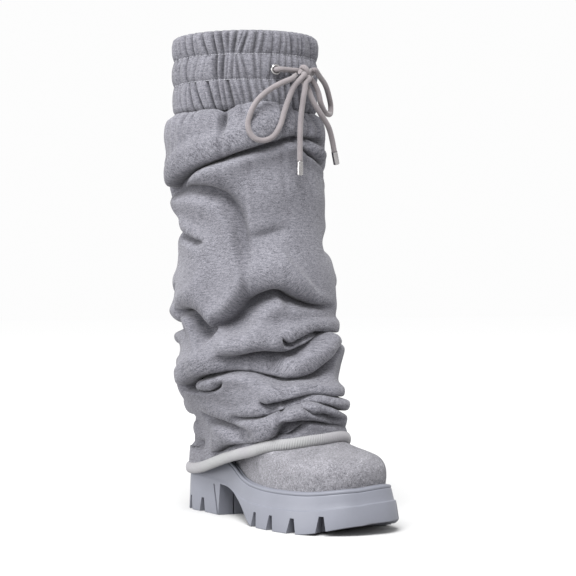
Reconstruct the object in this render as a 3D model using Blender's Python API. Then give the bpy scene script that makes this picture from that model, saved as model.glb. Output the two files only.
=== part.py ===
"""A knee-high slouch boot for the right foot, built as a maker puts it together.

A lugged sole unit carries a welt, an insole and a hollow cloth upper that runs up as the inner leg.
A loose sweat-cloth shaft hangs round that leg from a gathered elastic waistband, down to a fat corded
hem that rests on the vamp and hugs the heel. A drawcord with metal tips is tied in a bow at the front.

Metres, +Z up. The toe points along -Y, the outer side of the foot is -X, and the boot stands on z = 0.
Bearings run round the leg in degrees: 0 at the front, 90 on the outer side, 180 at the back.
"""

import math
from collections import namedtuple

import bmesh
import bpy
import numpy as np
from mathutils.bvhtree import BVHTree

# The sole unit
SOLE_LENGTH = 0.290
BALL_WIDTH = 0.108
HEEL_TOP = 0.056
PLATFORM = 0.0334
TOE_SPRING = 0.009
SPRING_START = 0.865
SPRING_SKEW = 0.085
TOE_SPRING_LEFT_AT_RIM = 0.55
TOE_SWING = 0.007
FLARE_TOE = 0.0065
FLARE_HEEL = 0.003
RIM_WIDTH = 0.005
CUP_DEPTH = 0.005
HEEL_LENGTH = 0.091
ARCH_LENGTH = 0.095
ARCH_HEIGHT = 0.0295
BREAST_LEAN = 0.001
BREAST_CHAMFER = 0.004
NOTCH_HEIGHT = 0.0135
NOTCH_WIDTH = 0.0120
NOTCH_TIP_WIDTH = 0.0044
NOTCH_DEPTH = 0.017
CHANNEL_DEPTH = 0.006
CHANNEL_WIDTH = 0.005
CHANNEL_HALF_LENGTH = 0.0238

# The welt, the insole and the upper
WELT_HEIGHT = 0.0032
WELT_WIDTH = 0.0046
WELT_SETBACK = 0.0004
INSOLE_THICKNESS = 0.0035
UPPER_WALL = 0.0025
ANKLE_HEIGHT = 0.172
UPPER_TOP_DROP = 0.003
ANKLE_HALF_WIDTH = 0.043
ANKLE_HALF_LENGTH = 0.051

# The leg, the waistband and the hem
BOOT_HEIGHT = 0.454
WAISTBAND_HEIGHT = 0.074
WAISTBAND_WALL = 0.0045
# How far the elastic draws the leg in at the sides, and how much longer it leaves it from front to back
WAIST_DRAWN_IN = 0.0035
WAIST_LONGER = 0.0025
GATHER_COUNT = 28
GATHER_DEPTH = 0.0012
CHANNEL_BULGE = 0.0022
LEG_SETBACK = 0.073
LEG_RADIUS = 0.070
# The shaft's lower sections hang over the foot and are shares of this radius, the others of the leg's
FOOT_DRAPE_RADIUS = 0.070
FOOT_DRAPE_SHARE = 0.24
SHAFT_WALL = 0.0024
HEM_HALF_HEIGHT = 0.0053
HEM_HALF_THICKNESS = 0.0035
HEM_CLEARANCE = 0.0014
SHAFT_CLEARANCE = 0.0018

# The drawcord
CORD_DIAMETER = 0.0052
TIP_DIAMETER = 0.0058
TIP_LENGTH = 0.0125
EYELET_RADIUS = 0.0050
EYELET_HOLE_RADIUS = 0.0030
EYELET_THICKNESS = 0.0014
EYELET_BEARINGS = (6.0, -30.5)
BAR_OVER_RIM = 0.0012
KNOT_BEARING = -13.0
KNOT_DROP = 0.0015
KNOT_HALF_WIDTH = 0.0085
KNOT_HALF_HEIGHT = 0.0062
KNOT_HALF_DEPTH = 0.0056

GAP = 0.0003
# A hair's breadth, by which a point that is moved clear goes past its limit
HAIR = 0.00001
# How far a cutter runs past what it cuts
PAST = 0.003
HEEL_Y = SOLE_LENGTH / 2
LEG_Y = HEEL_Y - LEG_SETBACK
SEAM_HEIGHT = BOOT_HEIGHT - WAISTBAND_HEIGHT
WAIST_HALF_WIDTH = LEG_RADIUS - WAIST_DRAWN_IN
WAIST_HALF_LENGTH = LEG_RADIUS + WAIST_LONGER
# The eyelets sit halfway up the band, in its middle channel
EYELET_HEIGHT = BOOT_HEIGHT - WAISTBAND_HEIGHT / 2
# The cord's bar lies on the cloth between them
BAR_LIFT = CORD_DIAMETER / 2 + GAP

SIDE_STEPS = 20
UPPER_POINTS = 2 * SIDE_STEPS
SHAFT_POINTS = 36
SHAFT_ROWS = 26

# Half widths of the sole's top edge, as shares of the ball width, from a line that swings to the big toe
Outline = namedtuple("Outline", "share outer inner")
OUTLINE_ROWS = (
    Outline(0.00, 0.330, 0.330),
    Outline(0.12, 0.325, 0.325),
    Outline(0.26, 0.308, 0.305),
    Outline(0.38, 0.322, 0.292),
    Outline(0.54, 0.410, 0.362),
    Outline(0.66, 0.462, 0.430),
    Outline(0.80, 0.470, 0.462),
    Outline(1.00, 0.440, 0.465),
)
HEEL_ROUND = 0.15
HEEL_ROUND_POWER = 2.2
TOE_ROUND = 0.26
TOE_ROUND_POWER = 2.5

# The sole's top edge: 0 at the platform's height and 1 at the heel's
TopEdge = namedtuple("TopEdge", "share rise")
TOP_EDGE_ROWS = (
    TopEdge(0.00, 1.00),
    TopEdge(0.15, 0.98),
    TopEdge(0.27, 0.90),
    TopEdge(0.36, 0.73),
    TopEdge(0.43, 0.47),
    TopEdge(0.50, 0.22),
    TopEdge(0.57, 0.07),
    TopEdge(0.65, 0.00),
    TopEdge(1.00, 0.00),
)

# The sole's side, from the tread up: share of the wall's height, and share of the flare still left
Wall = namedtuple("Wall", "rise flare")
WALL_ROWS = (
    Wall(0.00, 0.92),
    Wall(0.03, 1.00),
    Wall(0.55, 0.62),
    Wall(0.64, 0.30),
    Wall(0.97, 0.04),
    Wall(1.00, 0.00),
)

# Where the notches cut the tread's edge, as shares of the sole's length
OUTER_NOTCHES = (0.085, 0.190, 0.664, 0.763, 0.862, 0.949)
INNER_NOTCHES = (0.085, 0.190, 0.664, 0.763, 0.862, 0.944)
CROSS_CHANNELS = (0.138, 0.712, 0.812, 0.906)

# The arch's roof from the heel's front face: shares of its length and of its height
Arch = namedtuple("Arch", "share height")
ARCH_ROWS = (
    Arch(0.00, 1.00),
    Arch(0.14, 0.98),
    Arch(0.30, 0.91),
    Arch(0.46, 0.79),
    Arch(0.61, 0.62),
    Arch(0.73, 0.42),
    Arch(0.80, 0.28),
    Arch(0.87, 0.15),
    Arch(0.94, 0.05),
    Arch(1.00, 0.00),
)

# The welt's section: share of its width in from the sole's edge, and share of its height
WELT_ROWS = ((0.10, 0.0), (0.0, 0.45), (0.22, 0.92), (0.55, 1.0), (1.0, 0.85), (1.0, 0.0))

# The upper, from the feather line to the ankle: how far up, and how far in towards the ankle's ring
Last = namedtuple("Last", "toe_rise toe_in side_rise side_in heel_rise heel_in")
LAST_ROWS = (
    Last(0.000, 0.000, 0.00, 0.00, 0.00, 0.00),
    Last(0.050, -0.008, 0.06, -0.06, 0.07, -0.02),
    Last(0.105, -0.004, 0.12, -0.05, 0.15, 0.00),
    Last(0.152, 0.022, 0.17, 0.02, 0.23, 0.08),
    Last(0.186, 0.075, 0.22, 0.12, 0.31, 0.25),
    Last(0.210, 0.170, 0.27, 0.25, 0.39, 0.50),
    Last(0.235, 0.300, 0.33, 0.39, 0.47, 0.72),
    Last(0.276, 0.440, 0.42, 0.54, 0.56, 0.87),
    Last(0.370, 0.590, 0.55, 0.70, 0.67, 0.95),
    Last(0.540, 0.760, 0.69, 0.84, 0.78, 0.98),
    Last(0.770, 0.920, 0.84, 0.95, 0.89, 1.00),
    Last(1.000, 1.000, 1.00, 1.00, 1.00, 1.00),
)

# The inner leg above the ankle: share of the way up, and share of the way from the ankle's ring to the
# waist's
InnerLeg = namedtuple("InnerLeg", "share spread")
INNER_LEG_ROWS = (InnerLeg(0.16, 0.25), InnerLeg(0.45, 0.80), InnerLeg(0.75, 0.98), InnerLeg(1.0, 1.0))

# The shaft's sections from the hem up: shift to the toe, half length and half width as shares of the
# leg's radius, and how much wider than its middle each is at the front and narrower at the back
Shaft = namedtuple("Shaft", "share shift length width taper")
SHAFT_SECTIONS = (
    Shaft(0.00, 0.56, 1.54, 0.70, 0.22),
    Shaft(0.05, 0.56, 1.54, 0.71, 0.22),
    Shaft(0.11, 0.53, 1.52, 0.76, 0.26),
    Shaft(0.17, 0.38, 1.35, 0.91, 0.16),
    Shaft(0.22, 0.38, 1.24, 1.06, 0.04),
    Shaft(0.28, 0.44, 1.23, 1.11, 0.00),
    Shaft(0.34, 0.36, 1.11, 1.05, 0.00),
    Shaft(0.41, 0.30, 1.15, 1.09, 0.00),
    Shaft(0.48, 0.27, 1.14, 1.09, 0.00),
    Shaft(0.58, 0.24, 1.05, 1.01, 0.00),
    Shaft(0.66, 0.23, 1.01, 0.97, 0.00),
    Shaft(0.74, 0.15, 1.08, 1.02, 0.00),
    Shaft(0.82, 0.04, 1.12, 1.06, 0.00),
    Shaft(0.90, 0.03, 1.13, 1.08, 0.00),
    Shaft(0.96, 0.00, 1.11, 1.07, 0.00),
    Shaft(1.00, 0.00, 1.02, 0.96, 0.00),
)

# The shaft's main creases: bearings, heights as shares of the boot's, depths and half widths as shares of
# the leg's radius
Crease = namedtuple("Crease", "start end low middle high depth width")
CREASES = (
    Crease(112, -45, 0.706, 0.755, 0.785, 0.09, 0.16),
    Crease(118, 25, 0.676, 0.690, 0.585, 0.07, 0.19),
    Crease(60, -25, 0.462, 0.478, 0.440, 0.11, 0.19),
    Crease(100, 55, 0.420, 0.445, 0.390, 0.08, 0.16),
    Crease(15, -62, 0.372, 0.388, 0.400, 0.09, 0.14),
    Crease(98, -58, 0.280, 0.296, 0.358, 0.11, 0.15),
    Crease(50, -70, 0.214, 0.238, 0.222, 0.09, 0.13),
    Crease(96, -45, 0.200, 0.196, 0.203, 0.07, 0.12),
    Crease(-60, -165, 0.735, 0.700, 0.660, 0.08, 0.17),
    Crease(-95, -215, 0.600, 0.560, 0.530, 0.08, 0.18),
    Crease(215, 110, 0.470, 0.440, 0.480, 0.09, 0.18),
    Crease(-55, -170, 0.470, 0.430, 0.410, 0.09, 0.17),
    Crease(230, 115, 0.335, 0.310, 0.290, 0.10, 0.15),
    Crease(-65, -175, 0.330, 0.290, 0.300, 0.10, 0.15),
    Crease(235, 105, 0.235, 0.215, 0.200, 0.08, 0.13),
    Crease(-60, -150, 0.215, 0.195, 0.185, 0.07, 0.13),
)

# The hem's height along its path, as a share of the boot's height
Hem = namedtuple("Hem", "bearing height")
HEM_ROWS = (
    Hem(-180, 0.088),
    Hem(-140, 0.091),
    Hem(-100, 0.100),
    Hem(-60, 0.118),
    Hem(-30, 0.142),
    Hem(0, 0.156),
    Hem(30, 0.140),
    Hem(60, 0.113),
    Hem(100, 0.094),
    Hem(140, 0.087),
    Hem(180, 0.088),
)
HEM_FRONT_SHARE = 0.752
HEM_SQUARENESS = 2.5
HEM_HALF_WIDTH = 0.0465
HEM_TAPER = 0.18

# The waistband's outside, from the seam up: share of its height, and share of the channel's bulge
Band = namedtuple("Band", "share bulge")
BAND_ROWS = (
    Band(0.00, -0.6),
    Band(0.08, 0.4),
    Band(0.22, 0.7),
    Band(0.38, -0.6),
    Band(0.45, 0.6),
    Band(0.58, 1.0),
    Band(0.70, -0.6),
    Band(0.76, 0.5),
    Band(0.86, 1.0),
    Band(0.95, 0.4),
    Band(1.00, -1.0),
)

# The bow: bearing in degrees, and in metres how far out it lies from the leg's radius and how far below
# the eyelets
Route = namedtuple("Route", "bearing out drop")
OUTER_LOOP = (
    Route(-3.0, 0.0170, 0.0083),
    Route(6.2, 0.0185, 0.0143),
    Route(14.5, 0.0185, 0.0220),
    Route(20.9, 0.0185, 0.0316),
    Route(24.5, 0.0185, 0.0425),
    Route(26.0, 0.0185, 0.0530),
    Route(24.6, 0.0185, 0.0610),
    Route(21.0, 0.0185, 0.0660),
    Route(16.5, 0.0185, 0.0670),
    Route(11.0, 0.0185, 0.0635),
    Route(6.5, 0.0185, 0.0535),
    Route(3.6, 0.0185, 0.0400),
    Route(0.7, 0.0185, 0.0281),
    Route(-3.2, 0.0185, 0.0161),
)
INNER_LOOP = (
    Route(-24.9, 0.0180, 0.0044),
    Route(-32.7, 0.0170, 0.0111),
    Route(-39.8, 0.0160, 0.0206),
    Route(-45.0, 0.0155, 0.0300),
    Route(-43.0, 0.0160, 0.0362),
    Route(-36.5, 0.0170, 0.0382),
    Route(-30.0, 0.0182, 0.0362),
    Route(-25.5, 0.0188, 0.0298),
    Route(-23.2, 0.0182, 0.0195),
    Route(-21.2, 0.0160, 0.0115),
)
OUTER_END = (
    Route(-10.3, 0.0225, 0.0110),
    Route(-8.6, 0.0230, 0.0200),
    Route(-7.2, 0.0230, 0.0315),
    Route(-6.0, 0.0230, 0.0445),
    Route(-5.4, 0.0230, 0.0590),
    Route(-5.3, 0.0230, 0.0730),
    Route(-5.3, 0.0230, 0.0854),
)
INNER_END = (
    Route(-14.6, 0.0165, 0.0165),
    Route(-16.5, 0.0200, 0.0278),
    Route(-21.5, 0.0235, 0.0406),
    Route(-28.1, 0.0245, 0.0516),
    Route(-33.2, 0.0240, 0.0640),
    Route(-35.8, 0.0240, 0.0735),
)
# Where each cord leaves the knot: how much to the outer side, up and out from the leg
Port = namedtuple("Port", "outer up out")
OUTER_LOOP_PORTS = (Port(0.85, -0.40, -0.45), Port(0.75, -0.40, 0.60))
INNER_LOOP_PORTS = (Port(-0.80, 0.15, 0.58), Port(-0.90, -0.30, -0.28))
OUTER_END_PORT = Port(-0.10, -0.80, 0.60)
INNER_END_PORT = Port(-0.30, -0.90, -0.40)

GREY_CLOTH = (0.36, 0.36, 0.39)
GREY_RUBBER = (0.40, 0.42, 0.46)
HEM_WHITE = (0.62, 0.62, 0.62)
CORD_GREY = (0.40, 0.37, 0.37)
LINING_GREY = (0.42, 0.42, 0.44)
TIP_METAL = (0.70, 0.70, 0.70)


def curve_through(xs, ys, x):
    """Values at x of a smooth curve through the points (xs, ys)."""
    xs = np.asarray(xs, float)
    ys = np.asarray(ys, float)
    slopes = np.gradient(ys, xs)
    x = np.clip(x, xs[0], xs[-1])
    i = np.clip(np.searchsorted(xs, x, side="right") - 1, 0, len(xs) - 2)
    step = xs[i + 1] - xs[i]
    t = (x - xs[i]) / step
    start = (1 + 2 * t) * (1 - t) ** 2 * ys[i] + t * (1 - t) ** 2 * step * slopes[i]
    end = t * t * (3 - 2 * t) * ys[i + 1] + t * t * (t - 1) * step * slopes[i + 1]
    return start + end


def read(rows, column, along, where):
    """One column of a table of rows, read at any place along another column."""
    return curve_through([getattr(r, along) for r in rows], [getattr(r, column) for r in rows], where)


def soft_step(t):
    t = np.clip(t, 0.0, 1.0)
    return t * t * (3 - 2 * t)


def material(name, colour, roughness, metallic=0.0):
    made = bpy.data.materials.new(name)
    made.use_nodes = True
    shader = made.node_tree.nodes["Principled BSDF"]
    shader.inputs["Base Color"].default_value = (*colour, 1.0)
    shader.inputs["Roughness"].default_value = roughness
    shader.inputs["Metallic"].default_value = metallic
    return made


def ring_faces(rows, points, first=0, closed=False):
    """Quads between rows of points that each go round once; closed joins the last row to the first."""
    faces = []
    for r in range(rows if closed else rows - 1):
        low = first + r * points
        high = first + ((r + 1) % rows) * points
        for k in range(points):
            after = (k + 1) % points
            faces.append((low + k, low + after, high + after, high + k))
    return faces


def cap_faces(first, steps):
    """Strips straight across a foot-shaped ring, which runs down the outer side and back up the inner."""
    points = 2 * steps
    faces = [(first, first + 1, first + points - 1)]
    for i in range(1, steps - 1):
        faces.append((first + i, first + i + 1, first + points - i - 1, first + points - i))
    faces.append((first + steps - 1, first + steps, first + steps + 1))
    return faces


def solid(name, points, faces, finish, smooth_angle=70.0):
    """A named object from points and faces, with its faces turned out and its round sides shaded smooth."""
    mesh = bpy.data.meshes.new(name)
    mesh.from_pydata([tuple(p) for p in points], [], faces)
    work = bmesh.new()
    work.from_mesh(mesh)
    bmesh.ops.triangulate(work, faces=work.faces[:])
    bmesh.ops.recalc_face_normals(work, faces=work.faces[:])
    work.to_mesh(mesh)
    work.free()
    mesh.shade_smooth()
    mesh.set_sharp_from_angle(angle=math.radians(smooth_angle))
    made = bpy.data.objects.new(name, mesh)
    made.data.materials.append(finish)
    bpy.context.scene.collection.objects.link(made)
    return made


def shell(name, outer, inner, finish):
    """A hollow wall: the outer rings from bottom to top, then the inner rings back down."""
    rings = np.concatenate([outer, inner[::-1]])
    rows, points = rings.shape[:2]
    return solid(name, rings.reshape(-1, 3), ring_faces(rows, points, closed=True), finish)


def closed_tube(name, path, across, up, finish, sides=8):
    """A tube with an oval section round a closed path; across and up are half sizes and directions."""
    (half_across, across_way), (half_up, up_way) = across, up
    rings = []
    for k in range(sides):
        turn = 2 * math.pi * k / sides
        rings.append(path + half_across * math.cos(turn) * across_way + half_up * math.sin(turn) * up_way)
    rings = np.array(rings)
    return solid(name, rings.reshape(-1, 3), ring_faces(sides, len(path), closed=True), finish)


def grid_normals(rings):
    """Outward unit normals of a grid of rings."""
    along = np.gradient(rings, axis=0)
    around = np.roll(rings, -1, axis=1) - np.roll(rings, 1, axis=1)
    normals = np.cross(around, along)
    normals /= np.linalg.norm(normals, axis=2, keepdims=True)
    centre = rings.mean(axis=1, keepdims=True)
    if ((rings - centre) * normals).sum() < 0:
        normals = -normals
    return normals


# The sole's outline and heights


def outline_shares():
    """Shares of the sole's length at each point of its outline, and the side that the point is on."""
    turn = np.pi * np.arange(SIDE_STEPS + 1) / SIDE_STEPS
    down = (1 - np.cos(turn)) / 2
    shares = np.concatenate([down, down[-2:0:-1]])
    sides = np.concatenate([-np.ones(SIDE_STEPS + 1), np.ones(SIDE_STEPS - 1)])
    return shares, sides


def outline(outset=0.0):
    """Points of the sole's top edge, moved out by outset, which may differ from point to point."""
    shares, sides = outline_shares()
    half = np.where(
        sides < 0,
        read(OUTLINE_ROWS, "outer", "share", shares),
        read(OUTLINE_ROWS, "inner", "share", shares),
    )
    heel = np.clip(1 - shares / HEEL_ROUND, 0, 1)
    toe = np.clip((shares - 1 + TOE_ROUND) / TOE_ROUND, 0, 1)
    round_off = (1 - heel**HEEL_ROUND_POWER) ** (1 / HEEL_ROUND_POWER)
    round_off *= (1 - toe**TOE_ROUND_POWER) ** (1 / TOE_ROUND_POWER)
    swing = TOE_SWING * soft_step((shares - 0.4) / 0.6)
    length = SOLE_LENGTH - FLARE_HEEL - FLARE_TOE
    x = swing + sides * half * BALL_WIDTH * round_off
    y = HEEL_Y - FLARE_HEEL - shares * length
    points = np.stack([x, y], axis=1)
    way = np.roll(points, -1, axis=0) - np.roll(points, 1, axis=0)
    out = np.stack([-way[:, 1], way[:, 0]], axis=1)
    out /= np.linalg.norm(out, axis=1, keepdims=True)
    if (out * (points - points.mean(axis=0))).sum() < 0:
        out = -out
    return points + out * np.reshape(outset, (-1, 1)), out


def flare(shares):
    return FLARE_HEEL + (FLARE_TOE - FLARE_HEEL) * soft_step(shares / 0.9)


def tread_height(points):
    """The underside's height: flat, then up to the toe, and from further back on the inner side."""
    share = (HEEL_Y - points[..., 1]) / SOLE_LENGTH
    share = share + SPRING_SKEW * np.clip(points[..., 0] / (BALL_WIDTH / 2), 0, 1)
    return TOE_SPRING * np.clip((share - SPRING_START) / (1 - SPRING_START), 0, 1.1) ** 1.8


def rim_height():
    """The height of the sole's top edge at each point of its outline."""
    shares, _ = outline_shares()
    rise = read(TOP_EDGE_ROWS, "rise", "share", shares)
    return PLATFORM + (HEEL_TOP - PLATFORM) * rise + TOE_SPRING_LEFT_AT_RIM * tread_height(outline()[0])


def level(points, heights):
    """Flat points with their heights."""
    return np.concatenate([points, np.broadcast_to(np.reshape(heights, (-1, 1)), (len(points), 1))], axis=1)


def on_sole(inset, lift):
    """A ring at a distance in from the sole's top edge and a height above it."""
    return level(outline(-inset)[0], rim_height() + lift)


def at_share(share, side):
    """The outline's place and outward way on one side at a share of the length."""
    shares, sides = outline_shares()
    chosen = [k for k in range(len(shares)) if sides[k] == side]
    points, out = outline(flare(shares))
    found = [np.interp(share, *zip(*sorted(zip(shares[chosen], points[chosen, a])))) for a in (0, 1)]
    way = [np.interp(share, *zip(*sorted(zip(shares[chosen], out[chosen, a])))) for a in (0, 1)]
    way = np.array(way) / np.linalg.norm(way)
    return np.array(found), way


def prism(low, high, bottom, top):
    """Points and faces of a block with four corners low and the four above them."""
    points = [(*p, bottom) for p in low] + [(*p, top) for p in high]
    return points, [(0, 1, 2, 3), (4, 5, 6, 7), (0, 1, 5, 4), (1, 2, 6, 5), (2, 3, 7, 6), (3, 0, 4, 7)]


def joined(blocks):
    points, faces = [], []
    for some_points, some_faces in blocks:
        faces += [tuple(i + len(points) for i in f) for f in some_faces]
        points += some_points
    return points, faces


def cutter(name, points, faces):
    made = solid(name, points, faces, bpy.data.materials["rubber"])
    made.hide_render = True
    made.display_type = "WIRE"
    return made


def notch(share, side):
    """A wedge that opens downwards, cut in from the sole's edge."""
    found, out = at_share(share, side)
    along = np.array([-out[1], out[0]])
    outside, inside = found + 4 * PAST * out, found - NOTCH_DEPTH * out
    corners = []
    for half in (NOTCH_WIDTH / 2 * along, NOTCH_TIP_WIDTH / 2 * along):
        corners.append([outside - half, outside + half, inside + half, inside - half])
    return prism(*corners, -PAST, float(tread_height(found)) + NOTCH_HEIGHT)


def cross_channel(share):
    """A shallow groove across the middle of the tread."""
    y = HEEL_Y - share * SOLE_LENGTH
    half = CHANNEL_WIDTH / 2
    reach = CHANNEL_HALF_LENGTH
    low = [(-reach, y - half), (reach, y - half), (reach, y + half), (-reach, y + half)]
    return prism(low, low, -PAST, float(tread_height(np.array([0.0, y]))) + CHANNEL_DEPTH)


def arch_cutter():
    """The tunnel between heel and forefoot: upright at the heel's breast, then a curve down to the tread."""
    breast = HEEL_Y - HEEL_LENGTH
    profile = [(breast + BREAST_LEAN, -PAST)]
    profile += [(breast - ARCH_LENGTH * row.share, ARCH_HEIGHT * row.height) for row in ARCH_ROWS]
    profile.append((breast - ARCH_LENGTH, -PAST))
    points, count = [], len(profile)
    for x in (-BALL_WIDTH, BALL_WIDTH):
        points += [(x, y, z) for y, z in profile]
    faces = [tuple(range(count)), tuple(range(count, 2 * count))]
    faces += [(k, (k + 1) % count, count + (k + 1) % count, count + k) for k in range(count)]
    return points, faces


def breast_chamfer(side):
    """An upright bevel on the heel's front corner."""
    found, _ = at_share(HEEL_LENGTH / SOLE_LENGTH, side)
    breast = HEEL_Y - HEEL_LENGTH
    reach = BREAST_CHAMFER
    outside, ahead = found[0] + side * 4 * PAST, breast - 0.5 * reach
    low = [
        (outside, breast + reach * 0.6),
        (found[0] - side * reach * 0.3, breast + reach * 0.1),
        (found[0] - side * reach * 0.9, ahead),
        (outside, ahead),
    ]
    high = [
        (outside, breast + reach * 2.2),
        (found[0] - side * reach * 0.2, breast + reach * 1.1),
        (found[0] - side * reach * 1.3, ahead),
        (outside, ahead),
    ]
    return prism(low, high, -PAST, ARCH_HEIGHT * 0.98)


def wall_rings(rows):
    """Rings of the sole's side, one for each row of its table."""
    shares, _ = outline_shares()
    low = tread_height(outline(flare(shares))[0])
    high = rim_height()
    return [level(outline(flare(shares) * r.flare)[0], low + (high - low) * r.rise) for r in rows]


def make_sole():
    rings = wall_rings(WALL_ROWS)
    rings.append(on_sole(RIM_WIDTH, 0.0))
    rings.append(on_sole(RIM_WIDTH, -CUP_DEPTH))
    rings = np.array(rings)
    rows, points = rings.shape[:2]
    faces = ring_faces(rows, points) + cap_faces(0, SIDE_STEPS) + cap_faces((rows - 1) * points, SIDE_STEPS)
    sole = solid("sole", rings.reshape(-1, 3), faces, bpy.data.materials["rubber"], 30.0)
    notches = [notch(s, -1) for s in OUTER_NOTCHES] + [notch(s, 1) for s in INNER_NOTCHES]
    cutters = [
        cutter("arch_cutter", *arch_cutter()),
        cutter("chamfer_cutter", *joined([breast_chamfer(-1), breast_chamfer(1)])),
        cutter("notch_cutter", *joined(notches)),
        cutter("channel_cutter", *joined([cross_channel(s) for s in CROSS_CHANNELS])),
    ]
    for made in cutters:
        cut = sole.modifiers.new(made.name, "BOOLEAN")
        cut.operation = "DIFFERENCE"
        cut.solver = "EXACT"
        cut.object = made
    return sole


def make_welt():
    rings = np.array([
        on_sole(WELT_SETBACK + inward * WELT_WIDTH, GAP + up * WELT_HEIGHT) for inward, up in WELT_ROWS
    ])
    faces = ring_faces(len(WELT_ROWS), UPPER_POINTS, closed=True)
    return solid("welt", rings.reshape(-1, 3), faces, bpy.data.materials["rubber"])


def upper_inset():
    """How far the upper's outside lies in from the sole's top edge."""
    return max(RIM_WIDTH, WELT_SETBACK + WELT_WIDTH) + GAP


def make_insole():
    inset = upper_inset() + UPPER_WALL + GAP
    rings = np.array([on_sole(inset, -CUP_DEPTH + GAP), on_sole(inset, -CUP_DEPTH + GAP + INSOLE_THICKNESS)])
    faces = ring_faces(2, UPPER_POINTS) + cap_faces(0, SIDE_STEPS) + cap_faces(UPPER_POINTS, SIDE_STEPS)
    return solid("insole", rings.reshape(-1, 3), faces, bpy.data.materials["lining"])


# The upper


def oval(half_width, half_length, height, centre_y=LEG_Y, count=UPPER_POINTS):
    """A ring round the leg, starting at the back and going down the outer side."""
    turn = 2 * np.pi * np.arange(count) / count
    x = -half_width * np.sin(turn)
    y = centre_y + half_length * np.cos(turn)
    return level(np.stack([x, y], axis=1), height)


def upper_rings():
    """The upper's outside, from inside the sole's cup to the leg's top."""
    turn = 2 * np.pi * np.arange(UPPER_POINTS) / UPPER_POINTS
    forward = (1 - np.cos(turn)) / 2
    toe = soft_step((forward - 0.45) / 0.5)
    heel = soft_step((0.35 - forward) / 0.35)
    side = 1 - toe - heel
    foot = on_sole(upper_inset(), GAP + WELT_HEIGHT)
    ankle = oval(ANKLE_HALF_WIDTH, ANKLE_HALF_LENGTH, ANKLE_HEIGHT)
    rings = [on_sole(upper_inset(), -CUP_DEPTH + GAP)]
    for row in LAST_ROWS:
        rise = toe * row.toe_rise + side * row.side_rise + heel * row.heel_rise
        inward = toe * row.toe_in + side * row.side_in + heel * row.heel_in
        ring = foot + (ankle - foot) * inward[:, None]
        ring[:, 2] = foot[:, 2] + (ankle[:, 2] - foot[:, 2]) * rise
        rings.append(ring)
    clearance = WAISTBAND_WALL + GAP
    top = oval(WAIST_HALF_WIDTH - clearance, WAIST_HALF_LENGTH - clearance, BOOT_HEIGHT - UPPER_TOP_DROP)
    for row in INNER_LEG_ROWS:
        ring = ankle + (top - ankle) * row.spread
        ring[:, 2] = ankle[:, 2] + (top[:, 2] - ankle[:, 2]) * row.share
        rings.append(ring)
    return np.array(rings)


def make_upper(outer):
    inner = outer - grid_normals(outer) * UPPER_WALL
    inner[0] = on_sole(upper_inset() + UPPER_WALL, -CUP_DEPTH + GAP)
    inner[-1, :, 2] = outer[-1, :, 2]
    return shell("upper", outer, inner, bpy.data.materials["vamp_cloth"])


# The shaft and its hem


def foot_surface(upper):
    """The outside of the upper, the welt and the sole's side, for finding the nearest place on it."""
    welt = [on_sole(WELT_SETBACK, GAP + WELT_HEIGHT * up) for up in (0.5, 1.0)]
    points, faces = [], []
    for rings in (upper, np.array(wall_rings(WALL_ROWS[2:]) + welt)):
        faces += ring_faces(len(rings), UPPER_POINTS, len(points))
        points += [tuple(p) for p in rings.reshape(-1, 3)]
    return BVHTree.FromPolygons(points, faces)


def keep_clear(points, surface, beside, above):
    """Moves each point that is too near to the surface out to its distance beside it or above it."""
    moved = points.copy()
    for i in range(len(moved)):
        for _ in range(4):
            nearest, normal, _, _ = surface.find_nearest(moved[i])
            distance = beside + (above - beside) * max(0.0, normal[2])
            away = moved[i] - np.array(nearest)
            depth = float(np.dot(away, normal))
            reach = float(np.linalg.norm(away))
            if depth > 0 and reach >= distance:
                break
            way = away / reach if depth > 0.5 * reach > 0 else np.array(normal)
            moved[i] = np.array(nearest) + way * (distance + HAIR)
    return moved


def hem_path(foot):
    """The middle of the hem cord: square-ended round the heel and over the vamp, resting on both."""
    turn = 2 * np.pi * np.arange(SHAFT_POINTS) / SHAFT_POINTS
    front = HEEL_Y - SOLE_LENGTH * HEM_FRONT_SHARE
    back = HEEL_Y - FLARE_HEEL + HEM_HALF_THICKNESS
    middle, half_length = (front + back) / 2, (back - front) / 2
    power = 2 / HEM_SQUARENESS
    c, s = np.cos(turn), np.sin(turn)
    x = -HEM_HALF_WIDTH * (1 - HEM_TAPER * c / 2) * np.sign(s) * np.abs(s) ** power
    y = middle + half_length * np.sign(c) * np.abs(c) ** power
    bearing = np.degrees(np.arctan2(-x, LEG_Y - y))
    path = np.stack([x, y, BOOT_HEIGHT * read(HEM_ROWS, "height", "bearing", bearing)], axis=1)
    clear = (HEM_HALF_THICKNESS + HEM_CLEARANCE, HEM_HALF_HEIGHT + HEM_CLEARANCE)
    for _ in range(3):
        path = keep_clear(path, foot, *clear)
        path = (np.roll(path, 1, axis=0) + 2 * path + np.roll(path, -1, axis=0)) / 4
    return keep_clear(path, foot, *clear)


def make_hem(path):
    way = np.roll(path, -1, axis=0) - np.roll(path, 1, axis=0)
    way /= np.linalg.norm(way, axis=1, keepdims=True)
    up = np.array([0.0, 0.0, 1.0]) - way * way[:, 2:3]
    up /= np.linalg.norm(up, axis=1, keepdims=True)
    across = np.cross(up, way)
    return closed_tube(
        "hem_cord", path, (HEM_HALF_THICKNESS, across), (HEM_HALF_HEIGHT, up), bpy.data.materials["hem_cord"]
    )


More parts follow.
